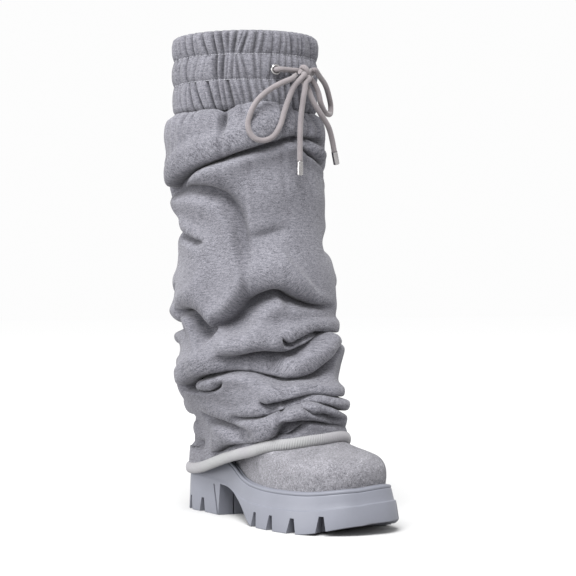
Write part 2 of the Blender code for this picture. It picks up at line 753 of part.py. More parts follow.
def crease_relief(bearing, height):
    """How far the creases push the shaft's surface in or out at each bearing and height."""
    relief = np.zeros_like(bearing)
    for c in CREASES:
        span = c.end - c.start
        along = ((bearing - c.start) * np.sign(span) % 360) / abs(span)
        inside = along <= 1
        shares = curve_through([0.0, 0.5, 1.0], [c.low, c.middle, c.high], np.where(inside, along, 0))
        fade = np.where(inside, np.sin(np.pi * np.clip(along, 0, 1)) ** 0.6, 0.0)
        off = (height - BOOT_HEIGHT * shares) / (c.width * LEG_RADIUS)
        trough = -np.exp(-(off**2))
        ridge = 0.55 * np.exp(-((off - 1.7) ** 2) / 1.2) + 0.25 * np.exp(-((off + 1.9) ** 2) / 1.4)
        relief += c.depth * LEG_RADIUS * fade * (trough + ridge)
    return relief


def shaft_rings(path, foot):
    """The shaft's outside, from the hem up to the waistband's seam."""
    turn = 2 * np.pi * np.arange(SHAFT_POINTS) / SHAFT_POINTS
    bearing = np.degrees(np.pi - turn)
    out = np.stack([-np.sin(turn), np.cos(turn), np.zeros_like(turn)], axis=1)
    start = path + np.array([0.0, 0.0, HEM_HALF_HEIGHT + 2 * GAP])
    rings = []
    for share in np.linspace(0, 1, SHAFT_ROWS):
        size = FOOT_DRAPE_RADIUS + (LEG_RADIUS - FOOT_DRAPE_RADIUS) * soft_step(share / FOOT_DRAPE_SHARE - 1)
        across = size * read(SHAFT_SECTIONS, "width", "share", share)
        across = across * (1 - read(SHAFT_SECTIONS, "taper", "share", share) * np.cos(turn))
        along = size * read(SHAFT_SECTIONS, "length", "share", share)
        centre = LEG_Y - size * read(SHAFT_SECTIONS, "shift", "share", share)
        height = start[:, 2] + (SEAM_HEIGHT - GAP - start[:, 2]) * share
        ring = level(np.stack([-across * np.sin(turn), centre + along * np.cos(turn)], axis=1), height)
        hold = soft_step(share / 0.08) * soft_step((1 - share) / 0.06)
        ring += out * (crease_relief(bearing, height) * hold)[:, None]
        ring[:, :2] += (start[:, :2] - ring[:, :2]) * (1 - soft_step(share / 0.12))
        rings.append(ring)
    rings = np.array(rings)
    for row in range(1, SHAFT_ROWS - 1):
        rings[row] = keep_clear(rings[row], foot, SHAFT_WALL + SHAFT_CLEARANCE, SHAFT_WALL + SHAFT_CLEARANCE)
    return rings


def make_shaft(outer, foot):
    inner = outer - grid_normals(outer) * SHAFT_WALL
    inner = np.array([keep_clear(ring, foot, SHAFT_CLEARANCE, SHAFT_CLEARANCE) for ring in inner])
    inner[0, :, 2] = outer[0, :, 2]
    inner[-1, :, 2] = outer[-1, :, 2]
    return shell("shaft", outer, inner, bpy.data.materials["sweat_cloth"])


def make_waistband():
    """Three elastic channels, gathered into upright ribs."""
    count = 2 * GATHER_COUNT
    rib = GATHER_DEPTH * np.where(np.arange(count) % 2 == 0, 0.5, -0.5)
    outer = []
    for row in BAND_ROWS:
        bulge = CHANNEL_BULGE * row.bulge
        height = SEAM_HEIGHT + WAISTBAND_HEIGHT * row.share
        ring = oval(WAIST_HALF_WIDTH + bulge, WAIST_HALF_LENGTH + bulge, height, count=count)
        out = ring - np.array([0.0, LEG_Y, 0.0])
        out[:, 2] = 0
        out /= np.linalg.norm(out, axis=1, keepdims=True)
        outer.append(ring + out * rib[:, None])
    inner = [
        oval(WAIST_HALF_WIDTH - WAISTBAND_WALL, WAIST_HALF_LENGTH - WAISTBAND_WALL, height, count=count)
        for height in (SEAM_HEIGHT, BOOT_HEIGHT)
    ]
    return shell("waistband", np.array(outer), np.array(inner), bpy.data.materials["sweat_cloth"])


# The drawcord


def place(route):
    turn = math.radians(route.bearing)
    radius = LEG_RADIUS + route.out
    return np.array([-radius * math.sin(turn), LEG_Y - radius * math.cos(turn), EYELET_HEIGHT - route.drop])


def smooth_route(points, spacing):
    """A smooth line through the route's points, with a point at each spacing along it."""
    points = np.array(points)
    lengths = np.concatenate([[0.0], np.cumsum(np.linalg.norm(np.diff(points, axis=0), axis=1))])
    count = max(4, round(lengths[-1] / spacing))
    where = np.linspace(0, lengths[-1], count + 1)
    return np.stack([curve_through(lengths, points[:, a], where) for a in range(3)], axis=1)


def cord(name, points):
    """A round cord along a route, as a bevelled curve with filled ends."""
    curve = bpy.data.curves.new(name, "CURVE")
    curve.dimensions = "3D"
    curve.bevel_depth = CORD_DIAMETER / 2
    curve.bevel_resolution = 2
    curve.use_fill_caps = True
    spline = curve.splines.new("POLY")
    spline.points.add(len(points) - 1)
    for point, at in zip(spline.points, points):
        point.co = (*at, 1.0)
    made = bpy.data.objects.new(name, curve)
    curve.materials.append(bpy.data.materials["drawcord"])
    bpy.context.scene.collection.objects.link(made)
    return made


def lathe(name, centre, axis, profile, finish, sides=14):
    """A turned solid: profile rows are distance along the axis and radius, and a closed one makes a ring."""
    axis = np.array(axis) / np.linalg.norm(axis)
    side = np.cross(axis, [0.0, 0.0, 1.0] if abs(axis[2]) < 0.9 else [1.0, 0.0, 0.0])
    side /= np.linalg.norm(side)
    other = np.cross(axis, side)
    turn = 2 * np.pi * np.arange(sides) / sides
    spoke = np.cos(turn)[:, None] * side + np.sin(turn)[:, None] * other
    rings = np.array([centre + axis * along + spoke * radius for along, radius in profile])
    closed = profile[0][1] > 0 and profile[0] == profile[-1]
    if closed:
        rings = rings[:-1]
        return solid(name, rings.reshape(-1, 3), ring_faces(len(rings), sides, closed=True), finish)
    last = (len(rings) - 1) * sides
    faces = ring_faces(len(rings), sides) + [tuple(range(sides)), tuple(range(last, last + sides))]
    return solid(name, rings.reshape(-1, 3), faces, finish)


def waist_surface(bearing, height):
    """A point on the waistband's outermost surface, and the way out from it."""
    turn = math.radians(180.0 - bearing)
    reach = CHANNEL_BULGE + GATHER_DEPTH / 2
    half_width, half_length = WAIST_HALF_WIDTH + reach, WAIST_HALF_LENGTH + reach
    point = np.array([-half_width * math.sin(turn), LEG_Y + half_length * math.cos(turn), height])
    out = np.array([-math.sin(turn) / half_width, math.cos(turn) / half_length, 0.0])
    return point, out / np.linalg.norm(out)


def make_eyelet(name, bearing):
    point, out = waist_surface(bearing, EYELET_HEIGHT)
    profile = [
        (GAP, EYELET_RADIUS),
        (GAP + EYELET_THICKNESS * 0.6, EYELET_RADIUS * 0.96),
        (GAP + EYELET_THICKNESS, (EYELET_RADIUS + EYELET_HOLE_RADIUS) / 2),
        (GAP + EYELET_THICKNESS * 0.6, EYELET_HOLE_RADIUS),
        (GAP, EYELET_HOLE_RADIUS),
        (GAP, EYELET_RADIUS),
    ]
    return lathe(name, point, out, profile, bpy.data.materials["metal"])


def knot_frame():
    """The knot's middle, where it lies on the bar, and its outer, up and out directions."""
    point, out = waist_surface(KNOT_BEARING, EYELET_HEIGHT - KNOT_DROP)
    middle = point + out * (BAR_LIFT + CORD_DIAMETER / 2 + KNOT_HALF_DEPTH)
    return middle, np.array([[out[1], -out[0], 0.0], [0.0, 0.0, 1.0], out])


def leave_knot(port):
    """Two points by which a cord leaves the knot, the first just clear of it."""
    middle, frame = knot_frame()
    sizes = np.array([KNOT_HALF_WIDTH, KNOT_HALF_HEIGHT, KNOT_HALF_DEPTH])
    way = np.array(port) / np.linalg.norm(port)
    reach = 1 / np.linalg.norm(way / sizes)
    normal = way / sizes**2
    normal /= np.linalg.norm(normal)
    start = way * reach + normal * GAP
    return middle + start @ frame, middle + (start + normal * CORD_DIAMETER * 0.6) @ frame


def make_bar():
    """The run of cord between the eyelets, under the knot, that turns down into each hole."""
    first, last = EYELET_BEARINGS
    half_run = abs(last - first) / 2
    turn_out = math.degrees(CORD_DIAMETER / LEG_RADIUS)
    over_rim = EYELET_THICKNESS + CORD_DIAMETER / 2 + BAR_OVER_RIM
    half = [
        (half_run, GAP + EYELET_THICKNESS / 2),
        (half_run, over_rim * 0.66),
        (half_run - turn_out * 0.33, over_rim * 0.93),
        (half_run - turn_out * 1.0, over_rim),
        (half_run - turn_out * 1.7, over_rim * 0.86),
        (half_run * 0.30, BAR_LIFT),
    ]
    route = half + [(0.0, BAR_LIFT)] + [(-away, lift) for away, lift in reversed(half)]
    points = []
    for away, lift in route:
        point, out = waist_surface((first + last) / 2 + away, EYELET_HEIGHT)
        points.append(point + out * lift)
    return cord("cord_bar", points)


def make_knot():
    """The bow's knot, as a rounded lump."""
    middle, frame = knot_frame()
    rows, sides = 8, 12
    spin = 2 * np.pi * np.arange(sides) / sides
    rings = []
    for k in range(1, rows):
        tilt = math.pi * k / rows
        along = np.full(sides, -math.cos(tilt) * KNOT_HALF_WIDTH)
        up = math.sin(tilt) * KNOT_HALF_HEIGHT * np.cos(spin)
        out = math.sin(tilt) * KNOT_HALF_DEPTH * np.sin(spin)
        rings.append(middle + np.stack([along, up, out], axis=1) @ frame)
    rings = np.array(rings)
    last = (len(rings) - 1) * sides
    faces = ring_faces(len(rings), sides) + [tuple(range(sides)), tuple(range(last, last + sides))]
    return solid("bow_knot", rings.reshape(-1, 3), faces, bpy.data.materials["drawcord"])


def make_tip(name, route):
    """A metal tip on the cord's end, in line with it."""
    before, last = place(route[-2]), place(route[-1])
    way = (last - before) / np.linalg.norm(last - before)
    radius = TIP_DIAMETER / 2
    ease = radius / 4
    profile = [
        (GAP, radius * 0.92),
        (GAP + ease, radius),
        (GAP + TIP_LENGTH - ease, radius),
        (GAP + TIP_LENGTH, radius * 0.9),
    ]
    return lathe(name, last, way, profile, bpy.data.materials["metal"])


def make_bow():
    made = [make_knot()]
    loops = {
        "bow_loop_outer": (OUTER_LOOP, OUTER_LOOP_PORTS),
        "bow_loop_inner": (INNER_LOOP, INNER_LOOP_PORTS),
    }
    for name, (route, ports) in loops.items():
        start, start_next = leave_knot(ports[0])
        stop, stop_before = leave_knot(ports[1])
        middle = smooth_route([start_next, *[place(r) for r in route], stop_before], 2.0 * CORD_DIAMETER)
        made.append(cord(name, [start, *middle, stop]))
    ends = {"cord_end_outer": (OUTER_END, OUTER_END_PORT), "cord_end_inner": (INNER_END, INNER_END_PORT)}
    for name, (route, port) in ends.items():
        start, start_next = leave_knot(port)
        middle = smooth_route([start_next, *[place(r) for r in route]], 2.2 * CORD_DIAMETER)
        made.append(cord(name, [start, *middle]))
    made.append(make_tip("cord_tip_outer", OUTER_END))
    made.append(make_tip("cord_tip_inner", INNER_END))
    return made


def build():
    for old in list(bpy.data.objects):
        bpy.data.objects.remove(old)
    material("rubber", GREY_RUBBER, 0.55)
    material("lining", LINING_GREY, 0.9)
    material("vamp_cloth", GREY_CLOTH, 0.95)
    material("sweat_cloth", GREY_CLOTH, 0.95)
    material("hem_cord", HEM_WHITE, 0.9)
    material("drawcord", CORD_GREY, 0.8)
    material("metal", TIP_METAL, 0.2, 1.0)
    boot = bpy.data.objects.new("boot", None)
    bpy.context.scene.collection.objects.link(boot)
    upper = upper_rings()
    foot = foot_surface(upper)
    path = hem_path(foot)
    pieces = [
        make_sole(),
        make_welt(),
        make_insole(),
        make_upper(upper),
        make_hem(path),
        make_shaft(shaft_rings(path, foot), foot),
        make_waistband(),
        make_eyelet("eyelet_outer", EYELET_BEARINGS[0]),
        make_eyelet("eyelet_inner", EYELET_BEARINGS[1]),
        make_bar(),
    ]
    pieces += make_bow()
    for made in pieces + [o for o in bpy.data.objects if o.name.endswith("_cutter")]:
        made.parent = boot
    corners = np.array([v.co for piece in pieces if piece.type == "MESH" for v in piece.data.vertices])
    middle = (corners.min(axis=0) + corners.max(axis=0)) / 2
    boot.location = (-middle[0], -middle[1], 0.0)


build()
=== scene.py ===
"""A knee-high slouch boot for the right foot, dressed piece by piece over its solids."""

import math
from collections import namedtuple

import bmesh
import bpy
import numpy as np
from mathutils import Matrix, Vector
from mathutils.bvhtree import BVHTree


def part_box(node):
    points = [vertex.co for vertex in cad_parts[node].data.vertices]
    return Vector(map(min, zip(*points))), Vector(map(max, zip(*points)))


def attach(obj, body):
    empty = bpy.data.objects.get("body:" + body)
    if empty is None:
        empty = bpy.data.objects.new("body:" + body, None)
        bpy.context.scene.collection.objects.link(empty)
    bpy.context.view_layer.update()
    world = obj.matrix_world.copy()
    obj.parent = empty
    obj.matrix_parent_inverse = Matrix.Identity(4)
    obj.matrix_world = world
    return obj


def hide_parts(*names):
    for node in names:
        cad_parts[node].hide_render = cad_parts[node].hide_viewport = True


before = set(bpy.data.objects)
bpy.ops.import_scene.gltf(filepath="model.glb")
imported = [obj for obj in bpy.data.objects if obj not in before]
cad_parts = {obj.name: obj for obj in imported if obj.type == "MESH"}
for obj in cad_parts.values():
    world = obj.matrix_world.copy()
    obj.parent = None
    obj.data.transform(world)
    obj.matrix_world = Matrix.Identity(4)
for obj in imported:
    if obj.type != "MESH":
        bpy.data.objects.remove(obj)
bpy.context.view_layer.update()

# The viewpoint
# The boot is seen from its outer front quarter, with the eye level at the middle of the leg and far
# enough off that the upright lines stay parallel.
VIEW_TURN = math.radians(29)
VIEW_DISTANCE = 1.75
EYE_HEIGHT = 0.21
PICTURE = 576
FOCAL_PIXELS = 1882
AIM_ACROSS = 281
AIM_DOWN = 293
SENSOR = 36.0
LEG_Y = 0.072
leg_low, leg_high = (np.array(corner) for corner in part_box("waistband"))
leg_middle = (leg_low + leg_high) / 2
# The way from the boot's own frame, whose Y starts halfway along the sole, to the frame of the solids
SETTING = np.array([leg_middle[0], leg_middle[1] - LEG_Y, 0.0])


def placed(name, data):
    """An object in the scene that shows the mesh, the lamp or the camera."""
    made = bpy.data.objects.new(name, data)
    bpy.context.scene.collection.objects.link(made)
    return made


camera = placed("camera", bpy.data.cameras.new("camera"))
camera.location = (
    SETTING[0] - VIEW_DISTANCE * math.sin(VIEW_TURN),
    SETTING[1] - VIEW_DISTANCE * math.cos(VIEW_TURN),
    EYE_HEIGHT,
)
camera.rotation_euler = (math.pi / 2, 0.0, -VIEW_TURN)
camera.data.sensor_width = SENSOR
camera.data.lens = SENSOR * FOCAL_PIXELS / PICTURE
camera.data.shift_x = (PICTURE / 2 - AIM_ACROSS) / PICTURE
camera.data.shift_y = (AIM_DOWN - PICTURE / 2) / PICTURE
bpy.context.scene.camera = camera

# The sole unit
# One block of matt blue-grey rubber from the mould: a raised heel, an arch that is open from side to
# side, and lugs parted by notches that narrow upwards. The upper is cemented into the cup on top.
SOLE_LENGTH = 0.290
BALL_WIDTH = 0.108
HEEL_TOP = 0.056
PLATFORM = 0.0334
TOE_SPRING = 0.009
SPRING_START = 0.865
SPRING_SKEW = 0.085
SPRING_POWER = 1.8
SPRING_LIMIT = 1.1
TOE_SPRING_LEFT_AT_RIM = 0.55
TOE_SWING = 0.007
# The share of the length where the swing starts, and where the toe's flare is reached
SWING_START = 0.4
FLARE_END = 0.9
FLARE_TOE = 0.0065
FLARE_HEEL = 0.003
RIM_WIDTH = 0.005
CUP_DEPTH = 0.005
HEEL_LENGTH = 0.091
ARCH_LENGTH = 0.095
ARCH_HEIGHT = 0.0295
BREAST_LEAN = 0.001
# The slot beside the heel's front corner: how far behind it, and how wide, at its foot and its head
SLOT_FOOT = (0.0008, 0.0034)
SLOT_HEAD = (0.0120, 0.0024)
SLOT_HEIGHT = 0.0284
SLOT_DEPTH = 0.0055
SLOT_BOTTOM = -0.0001
BREAST_GROOVE_X = 0.021
BREAST_GROOVE_WIDTH = 0.0016
BREAST_GROOVE_DEPTH = 0.004
NOTCH_HEIGHT = 0.0135
NOTCH_WIDTH = 0.0120
NOTCH_TIP_WIDTH = 0.0044
NOTCH_DEPTH = 0.017
CHANNEL_DEPTH = 0.006
CHANNEL_WIDTH = 0.005
# Half the length of a channel across the tread, as a share of the ball's width
CHANNEL_REACH = 0.22
# How far a cutter reaches past the rubber, below it and beside it
PAST = 0.003
SIDE_PAST = 4 * PAST
GAP = 0.0003
HEEL_Y = SOLE_LENGTH / 2
SIDE_STEPS = 110
RING_POINTS = 2 * SIDE_STEPS
RUBBER_GREY = (0.150, 0.156, 0.184)
SOLE_SMOOTH_ANGLE = 28.0

Outline = namedtuple("Outline", "share outer inner")
OUTLINE_ROWS = (
    Outline(0.00, 0.330, 0.330),
    Outline(0.12, 0.325, 0.325),
    Outline(0.26, 0.308, 0.305),
    Outline(0.38, 0.322, 0.292),
    Outline(0.54, 0.410, 0.362),
    Outline(0.66, 0.462, 0.430),
    Outline(0.80, 0.470, 0.462),
    Outline(1.00, 0.440, 0.465),
)
HEEL_ROUND = 0.15
HEEL_ROUND_POWER = 2.2
TOE_ROUND = 0.26
TOE_ROUND_POWER = 2.5

TopEdge = namedtuple("TopEdge", "share rise")
TOP_EDGE_ROWS = (
    TopEdge(0.00, 1.00),
    TopEdge(0.15, 0.98),
    TopEdge(0.27, 0.90),
    TopEdge(0.36, 0.73),
    TopEdge(0.43, 0.47),
    TopEdge(0.50, 0.22),
    TopEdge(0.57, 0.07),
    TopEdge(0.65, 0.00),
    TopEdge(1.00, 0.00),
)

# The side from the tread up: share of its height, share of the flare left, with each edge eased
Wall = namedtuple("Wall", "rise flare")
WALL_ROWS = (
    Wall(0.000, 0.93),
    Wall(0.012, 0.985),
    Wall(0.040, 1.00),
    Wall(0.300, 0.82),
    Wall(0.575, 0.63),
    Wall(0.600, 0.59),
    Wall(0.625, 0.39),
    Wall(0.650, 0.33),
    Wall(0.800, 0.18),
    Wall(0.960, 0.03),
    Wall(0.985, 0.00),
    Wall(1.000, -0.06),
)
OUTER_NOTCHES = (0.100, 0.190, 0.664, 0.763, 0.862, 0.949)
INNER_NOTCHES = (0.085, 0.190, 0.664, 0.763, 0.862, 0.944)
CROSS_CHANNELS = (0.138, 0.712, 0.812, 0.906)

Arch = namedtuple("Arch", "share height")
ARCH_ROWS = (
    Arch(0.00, 1.00),
    Arch(0.14, 0.98),
    Arch(0.30, 0.91),
    Arch(0.46, 0.79),
    Arch(0.61, 0.62),
    Arch(0.73, 0.42),
    Arch(0.80, 0.28),
    Arch(0.87, 0.15),
    Arch(0.94, 0.05),
    Arch(1.00, 0.00),
)
ARCH_STEPS = 40


def curve_through(xs, ys, x):
    """Values at x of a smooth curve through the points (xs, ys)."""
    xs = np.asarray(xs, float)
    ys = np.asarray(ys, float)
    slopes = np.gradient(ys, xs)
    x = np.clip(x, xs[0], xs[-1])
    i = np.clip(np.searchsorted(xs, x, side="right") - 1, 0, len(xs) - 2)
    step = xs[i + 1] - xs[i]
    t = (x - xs[i]) / step
    start = (1 + 2 * t) * (1 - t) ** 2 * ys[i] + t * (1 - t) ** 2 * step * slopes[i]
    end = t * t * (3 - 2 * t) * ys[i + 1] + t * t * (t - 1) * step * slopes[i + 1]
    return start + end


def read(rows, column, along, where):
    """One column of a table of rows, read at any place along another column."""
    return curve_through([getattr(r, along) for r in rows], [getattr(r, column) for r in rows], where)


def soft_step(t):
    t = np.clip(t, 0.0, 1.0)
    return t * t * (3 - 2 * t)


class Wire:
    """A value that runs from one node to the next; a sum of values adds its Math nodes."""

    def __init__(self, nodes, socket):
        self.nodes = nodes
        self.socket = socket

    def other(self, out):
        """Another output of the node that this value comes from."""
        return Wire(self.nodes, self.socket.node.outputs[out])

    def maths(self, operation, first, second=0.0):
        return self.nodes.maths(operation, first, second)

    def __add__(self, other):
        return self.maths("ADD", self, other)

    def __sub__(self, other):
        return self.maths("SUBTRACT", self, other)

    def __rsub__(self, other):
        return self.maths("SUBTRACT", other, self)

    def __mul__(self, other):
        return self.maths("MULTIPLY", self, other)

    def sine(self):
        return self.maths("SINE", self)

    __radd__ = __add__
    __rmul__ = __mul__


class Nodes:
    """A tree of nodes that grows by one node with each call."""

    def node(self, kind, settings, sockets, out=0):
        made = self.tree.nodes.new(kind)
        for name, value in settings.items():
            setattr(made, name, value)
        for name, value in sockets.items():
            if isinstance(value, Wire):
                self.tree.links.new(value.socket, made.inputs[name])
            else:
                made.inputs[name].default_value = value
        return Wire(self, made.outputs[out])

    def maths(self, operation, first, second=0.0):
        return self.node("ShaderNodeMath", {"operation": operation}, {0: first, 1: second})


class Finish(Nodes):
    """The material of a piece: a shader with fixed sockets, and the nodes that vary it over the surface."""

    def __init__(self, name, fixed):
        self.material = bpy.data.materials.new(name)
        self.material.use_nodes = True
        self.tree = self.material.node_tree
        self.shader = self.tree.nodes["Principled BSDF"]
        for socket, value in fixed.items():
            self.shader.inputs[socket].default_value = value

    def place(self):
        """The place on the piece, in metres."""
        return self.node("ShaderNodeTexCoord", {}, {}, "Object")

    def cloth_place(self):
        """The place along and across the cloth, in metres."""
        return self.node("ShaderNodeUVMap", {"uv_map": "cloth"}, {})

    def scaled(self, place, scale):
        return self.node("ShaderNodeMapping", {}, {"Vector": place, "Scale": scale})

    def noise(self, place, scale, detail=3.0, rough=0.55, wander=0.0):
        amounts = {"Scale": scale, "Detail": detail, "Roughness": rough, "Distortion": wander}
        return self.node("ShaderNodeTexNoise", {}, {"Vector": place, **amounts})

    def span(self, value, low, high, first=0.0, last=1.0):
        """The value stretched so that low to high becomes first to last."""
        return self.node("ShaderNodeMapRange", {}, {0: value, 1: low, 2: high, 3: first, 4: last})

    def mixed(self, mask, first, second):
        """A colour that goes from the first to the second as the mask goes from 0 to 1."""
        sockets = {0: mask}
        for index, colour in ((6, first), (7, second)):
            sockets[index] = colour if isinstance(colour, Wire) else (*colour, 1.0)
        return self.node("ShaderNodeMix", {"data_type": "RGBA"}, sockets, 2)

    def feed(self, socket, value):
        self.tree.links.new(value.socket, self.shader.inputs[socket])

    def raised(self, layers, edge=None):
        """Bumps for the layers, each a height from 0 to 1 and its real depth in metres; edge is a normal."""
        normal = edge
        for height, depth in layers:
            sockets = {"Height": height, "Distance": depth, "Strength": 1.0}
            if normal is not None:
                sockets["Normal"] = normal
            normal = self.node("ShaderNodeBump", {}, sockets)
        self.feed("Normal", normal)


def ring_faces(rows, points, first=0, closed=False):
    """Quads between rows of points that each go round once; closed joins the last row to the first."""
    faces = []
    for r in range(rows if closed else rows - 1):
        low = first + r * points
        high = first + ((r + 1) % rows) * points
        for k in range(points):
            after = (k + 1) % points
            faces.append((low + k, low + after, high + after, high + k))
    return faces


def cap_faces(first, steps):
    """Strips straight across a foot-shaped ring, which runs down the outer side and up the inner one."""
    points = 2 * steps
    faces = [(first, first + 1, first + points - 1)]
    for i in range(1, steps - 1):
        faces.append((first + i, first + i + 1, first + points - i - 1, first + points - i))
    faces.append((first + steps - 1, first + steps, first + steps + 1))
    return faces


def piece(name, points, faces, finish, smooth_angle=70.0, turn_out=True):
    """An object in the solids' frame, from points in the boot's own frame."""
    mesh = bpy.data.meshes.new(name)
    mesh.from_pydata((np.array(points) + SETTING).tolist(), [], faces)
    if turn_out:
        work = bmesh.new()
        work.from_mesh(mesh)
        bmesh.ops.recalc_face_normals(work, faces=work.faces[:])
        work.to_mesh(mesh)
        work.free()
    mesh.shade_smooth()
    mesh.set_sharp_from_angle(angle=math.radians(smooth_angle))
    mesh.materials.append(finish.material)
    return placed(name, mesh)


def worked_mesh(made):
    """The plain mesh of a piece with its modifiers worked out."""
    return bpy.data.meshes.new_from_object(made.evaluated_get(bpy.context.evaluated_depsgraph_get()))


def outline_shares():
    """Shares of the sole's length at each point of its outline, and the side that the point is on."""
    turn = np.pi * np.arange(SIDE_STEPS + 1) / SIDE_STEPS
    down = (1 - np.cos(turn)) / 2
    shares = np.concatenate([down, down[-2:0:-1]])
    sides = np.concatenate([-np.ones(SIDE_STEPS + 1), np.ones(SIDE_STEPS - 1)])
    return shares, sides


def outline(outset=0.0):
    """Points of the sole's top edge, moved out by outset, which may differ from point to point."""
    shares, sides = outline_shares()
    half = np.where(
        sides < 0,
        read(OUTLINE_ROWS, "outer", "share", shares),
        read(OUTLINE_ROWS, "inner", "share", shares),
    )
    heel = np.clip(1 - shares / HEEL_ROUND, 0, 1)
    toe = np.clip((shares - 1 + TOE_ROUND) / TOE_ROUND, 0, 1)
    round_off = (1 - heel**HEEL_ROUND_POWER) ** (1 / HEEL_ROUND_POWER)
    round_off *= (1 - toe**TOE_ROUND_POWER) ** (1 / TOE_ROUND_POWER)
    swing = TOE_SWING * soft_step((shares - SWING_START) / (1 - SWING_START))
    length = SOLE_LENGTH - FLARE_HEEL - FLARE_TOE
    x = swing + sides * half * BALL_WIDTH * round_off
    y = HEEL_Y - FLARE_HEEL - shares * length
    points = np.stack([x, y], axis=1)
    way = np.roll(points, -1, axis=0) - np.roll(points, 1, axis=0)
    out = np.stack([-way[:, 1], way[:, 0]], axis=1)
    out /= np.linalg.norm(out, axis=1, keepdims=True)
    if (out * (points - points.mean(axis=0))).sum() < 0:
        out = -out
    return points + out * np.reshape(outset, (-1, 1)), out


def flare(shares):
    return FLARE_HEEL + (FLARE_TOE - FLARE_HEEL) * soft_step(shares / FLARE_END)


def tread_height(points):
    """The underside's height: flat, then up to the toe, and from further back on the inner side."""
    share = (HEEL_Y - points[..., 1]) / SOLE_LENGTH
    share = share + SPRING_SKEW * np.clip(points[..., 0] / (BALL_WIDTH / 2), 0, 1)
    past_start = (share - SPRING_START) / (1 - SPRING_START)
    return TOE_SPRING * np.clip(past_start, 0, SPRING_LIMIT) ** SPRING_POWER


def rim_height():
    """The height of the sole's top edge at each point of its outline."""
    shares, _ = outline_shares()
    rise = read(TOP_EDGE_ROWS, "rise", "share", shares)
    return PLATFORM + (HEEL_TOP - PLATFORM) * rise + TOE_SPRING_LEFT_AT_RIM * tread_height(outline()[0])


def level(points, heights):
    """Flat points with their heights."""
    return np.concatenate([points, np.broadcast_to(np.reshape(heights, (-1, 1)), (len(points), 1))], axis=1)


def on_sole(inset, lift):
    """A ring at a distance in from the sole's top edge and a height above it."""
    return level(outline(-inset)[0], rim_height() + lift)


def at_share(share, side):
    """Place and outward way of the outline point on one side at a share of the length."""
    shares, sides = outline_shares()
    chosen = [k for k in range(len(shares)) if sides[k] == side]
    points, out = outline(flare(shares))
    found = [np.interp(share, *zip(*sorted(zip(shares[chosen], points[chosen, a])))) for a in (0, 1)]
    way = [np.interp(share, *zip(*sorted(zip(shares[chosen], out[chosen, a])))) for a in (0, 1)]
    way = np.array(way) / np.linalg.norm(way)
    return np.array(found), way


def prism(low, high, bottom, top):
    """Points and faces of a block with four corners low and the four above them."""
    points = [(*p, bottom) for p in low] + [(*p, top) for p in high]
    return points, [(0, 1, 2, 3), (4, 5, 6, 7), (0, 1, 5, 4), (1, 2, 6, 5), (2, 3, 7, 6), (3, 0, 4, 7)]


def notch(share, side):
    """A wedge that opens downwards, cut in from the sole's edge."""
    found, out = at_share(share, side)
    along = np.array([-out[1], out[0]])
    outside, inside = found + SIDE_PAST * out, found - NOTCH_DEPTH * out
    corners = []
    for half in (NOTCH_WIDTH / 2, NOTCH_TIP_WIDTH / 2):
        aside = half * along
        corners.append([outside - aside, outside + aside, inside + aside, inside - aside])
    return prism(*corners, -PAST, float(tread_height(found)) + NOTCH_HEIGHT)


def cross_channel(share):
    """A shallow groove across the middle of the tread."""
    y = HEEL_Y - share * SOLE_LENGTH
    half = CHANNEL_WIDTH / 2
    reach = BALL_WIDTH * CHANNEL_REACH
    low = [(-reach, y - half), (reach, y - half), (reach, y + half), (-reach, y + half)]
    return prism(low, low, -PAST, float(tread_height(np.array([0.0, y]))) + CHANNEL_DEPTH)


def breast_groove(side):
    """An upright slot in the heel's front face."""
    y = HEEL_Y - HEEL_LENGTH
    middle, half = side * BREAST_GROOVE_X, BREAST_GROOVE_WIDTH / 2
    near, far = y - PAST, y + BREAST_GROOVE_DEPTH
    low = [(middle - half, near), (middle + half, near), (middle + half, far), (middle - half, far)]
    return prism(low, low, -PAST, ARCH_HEIGHT)


def corner_slot(side):
    """A thin slot in the heel's side that leans towards its front corner as it runs down."""
    found, _ = at_share(HEEL_LENGTH / SOLE_LENGTH, side)
    near, far = found[0] - side * SLOT_DEPTH, found[0] + side * SIDE_PAST
    corners = []
    for back, wide in (SLOT_FOOT, SLOT_HEAD):
        front = HEEL_Y - HEEL_LENGTH + back
        corners.append([(near, front), (far, front), (far, front + wide), (near, front + wide)])
    return prism(*corners, SLOT_BOTTOM, SLOT_HEIGHT)


def arch_tunnel():
    """The tunnel between heel and forefoot: upright at the heel's breast, then a curve down to the tread."""
    breast = HEEL_Y - HEEL_LENGTH
    profile = [(breast + BREAST_LEAN, -PAST)]
    for share in np.linspace(0, 1, ARCH_STEPS):
        height = ARCH_HEIGHT * read(ARCH_ROWS, "height", "share", share)
        profile.append((breast - ARCH_LENGTH * share, height))
    profile.append((breast - ARCH_LENGTH, -PAST))
    points, count = [], len(profile)
    for x in (-BALL_WIDTH, BALL_WIDTH):
        points += [(x, y, z) for y, z in profile]
    faces = [tuple(range(count)), tuple(range(count, 2 * count))]
    faces += [(k, (k + 1) % count, count + (k + 1) % count, count + k) for k in range(count)]
    return points, faces


def wall_rings(rows):
    """Rings of the sole's side, one for each row of its table."""
    shares, _ = outline_shares()
    low = tread_height(outline(flare(shares))[0])
    high = rim_height()
    return [level(outline(flare(shares) * r.flare)[0], low + (high - low) * r.rise) for r in rows]


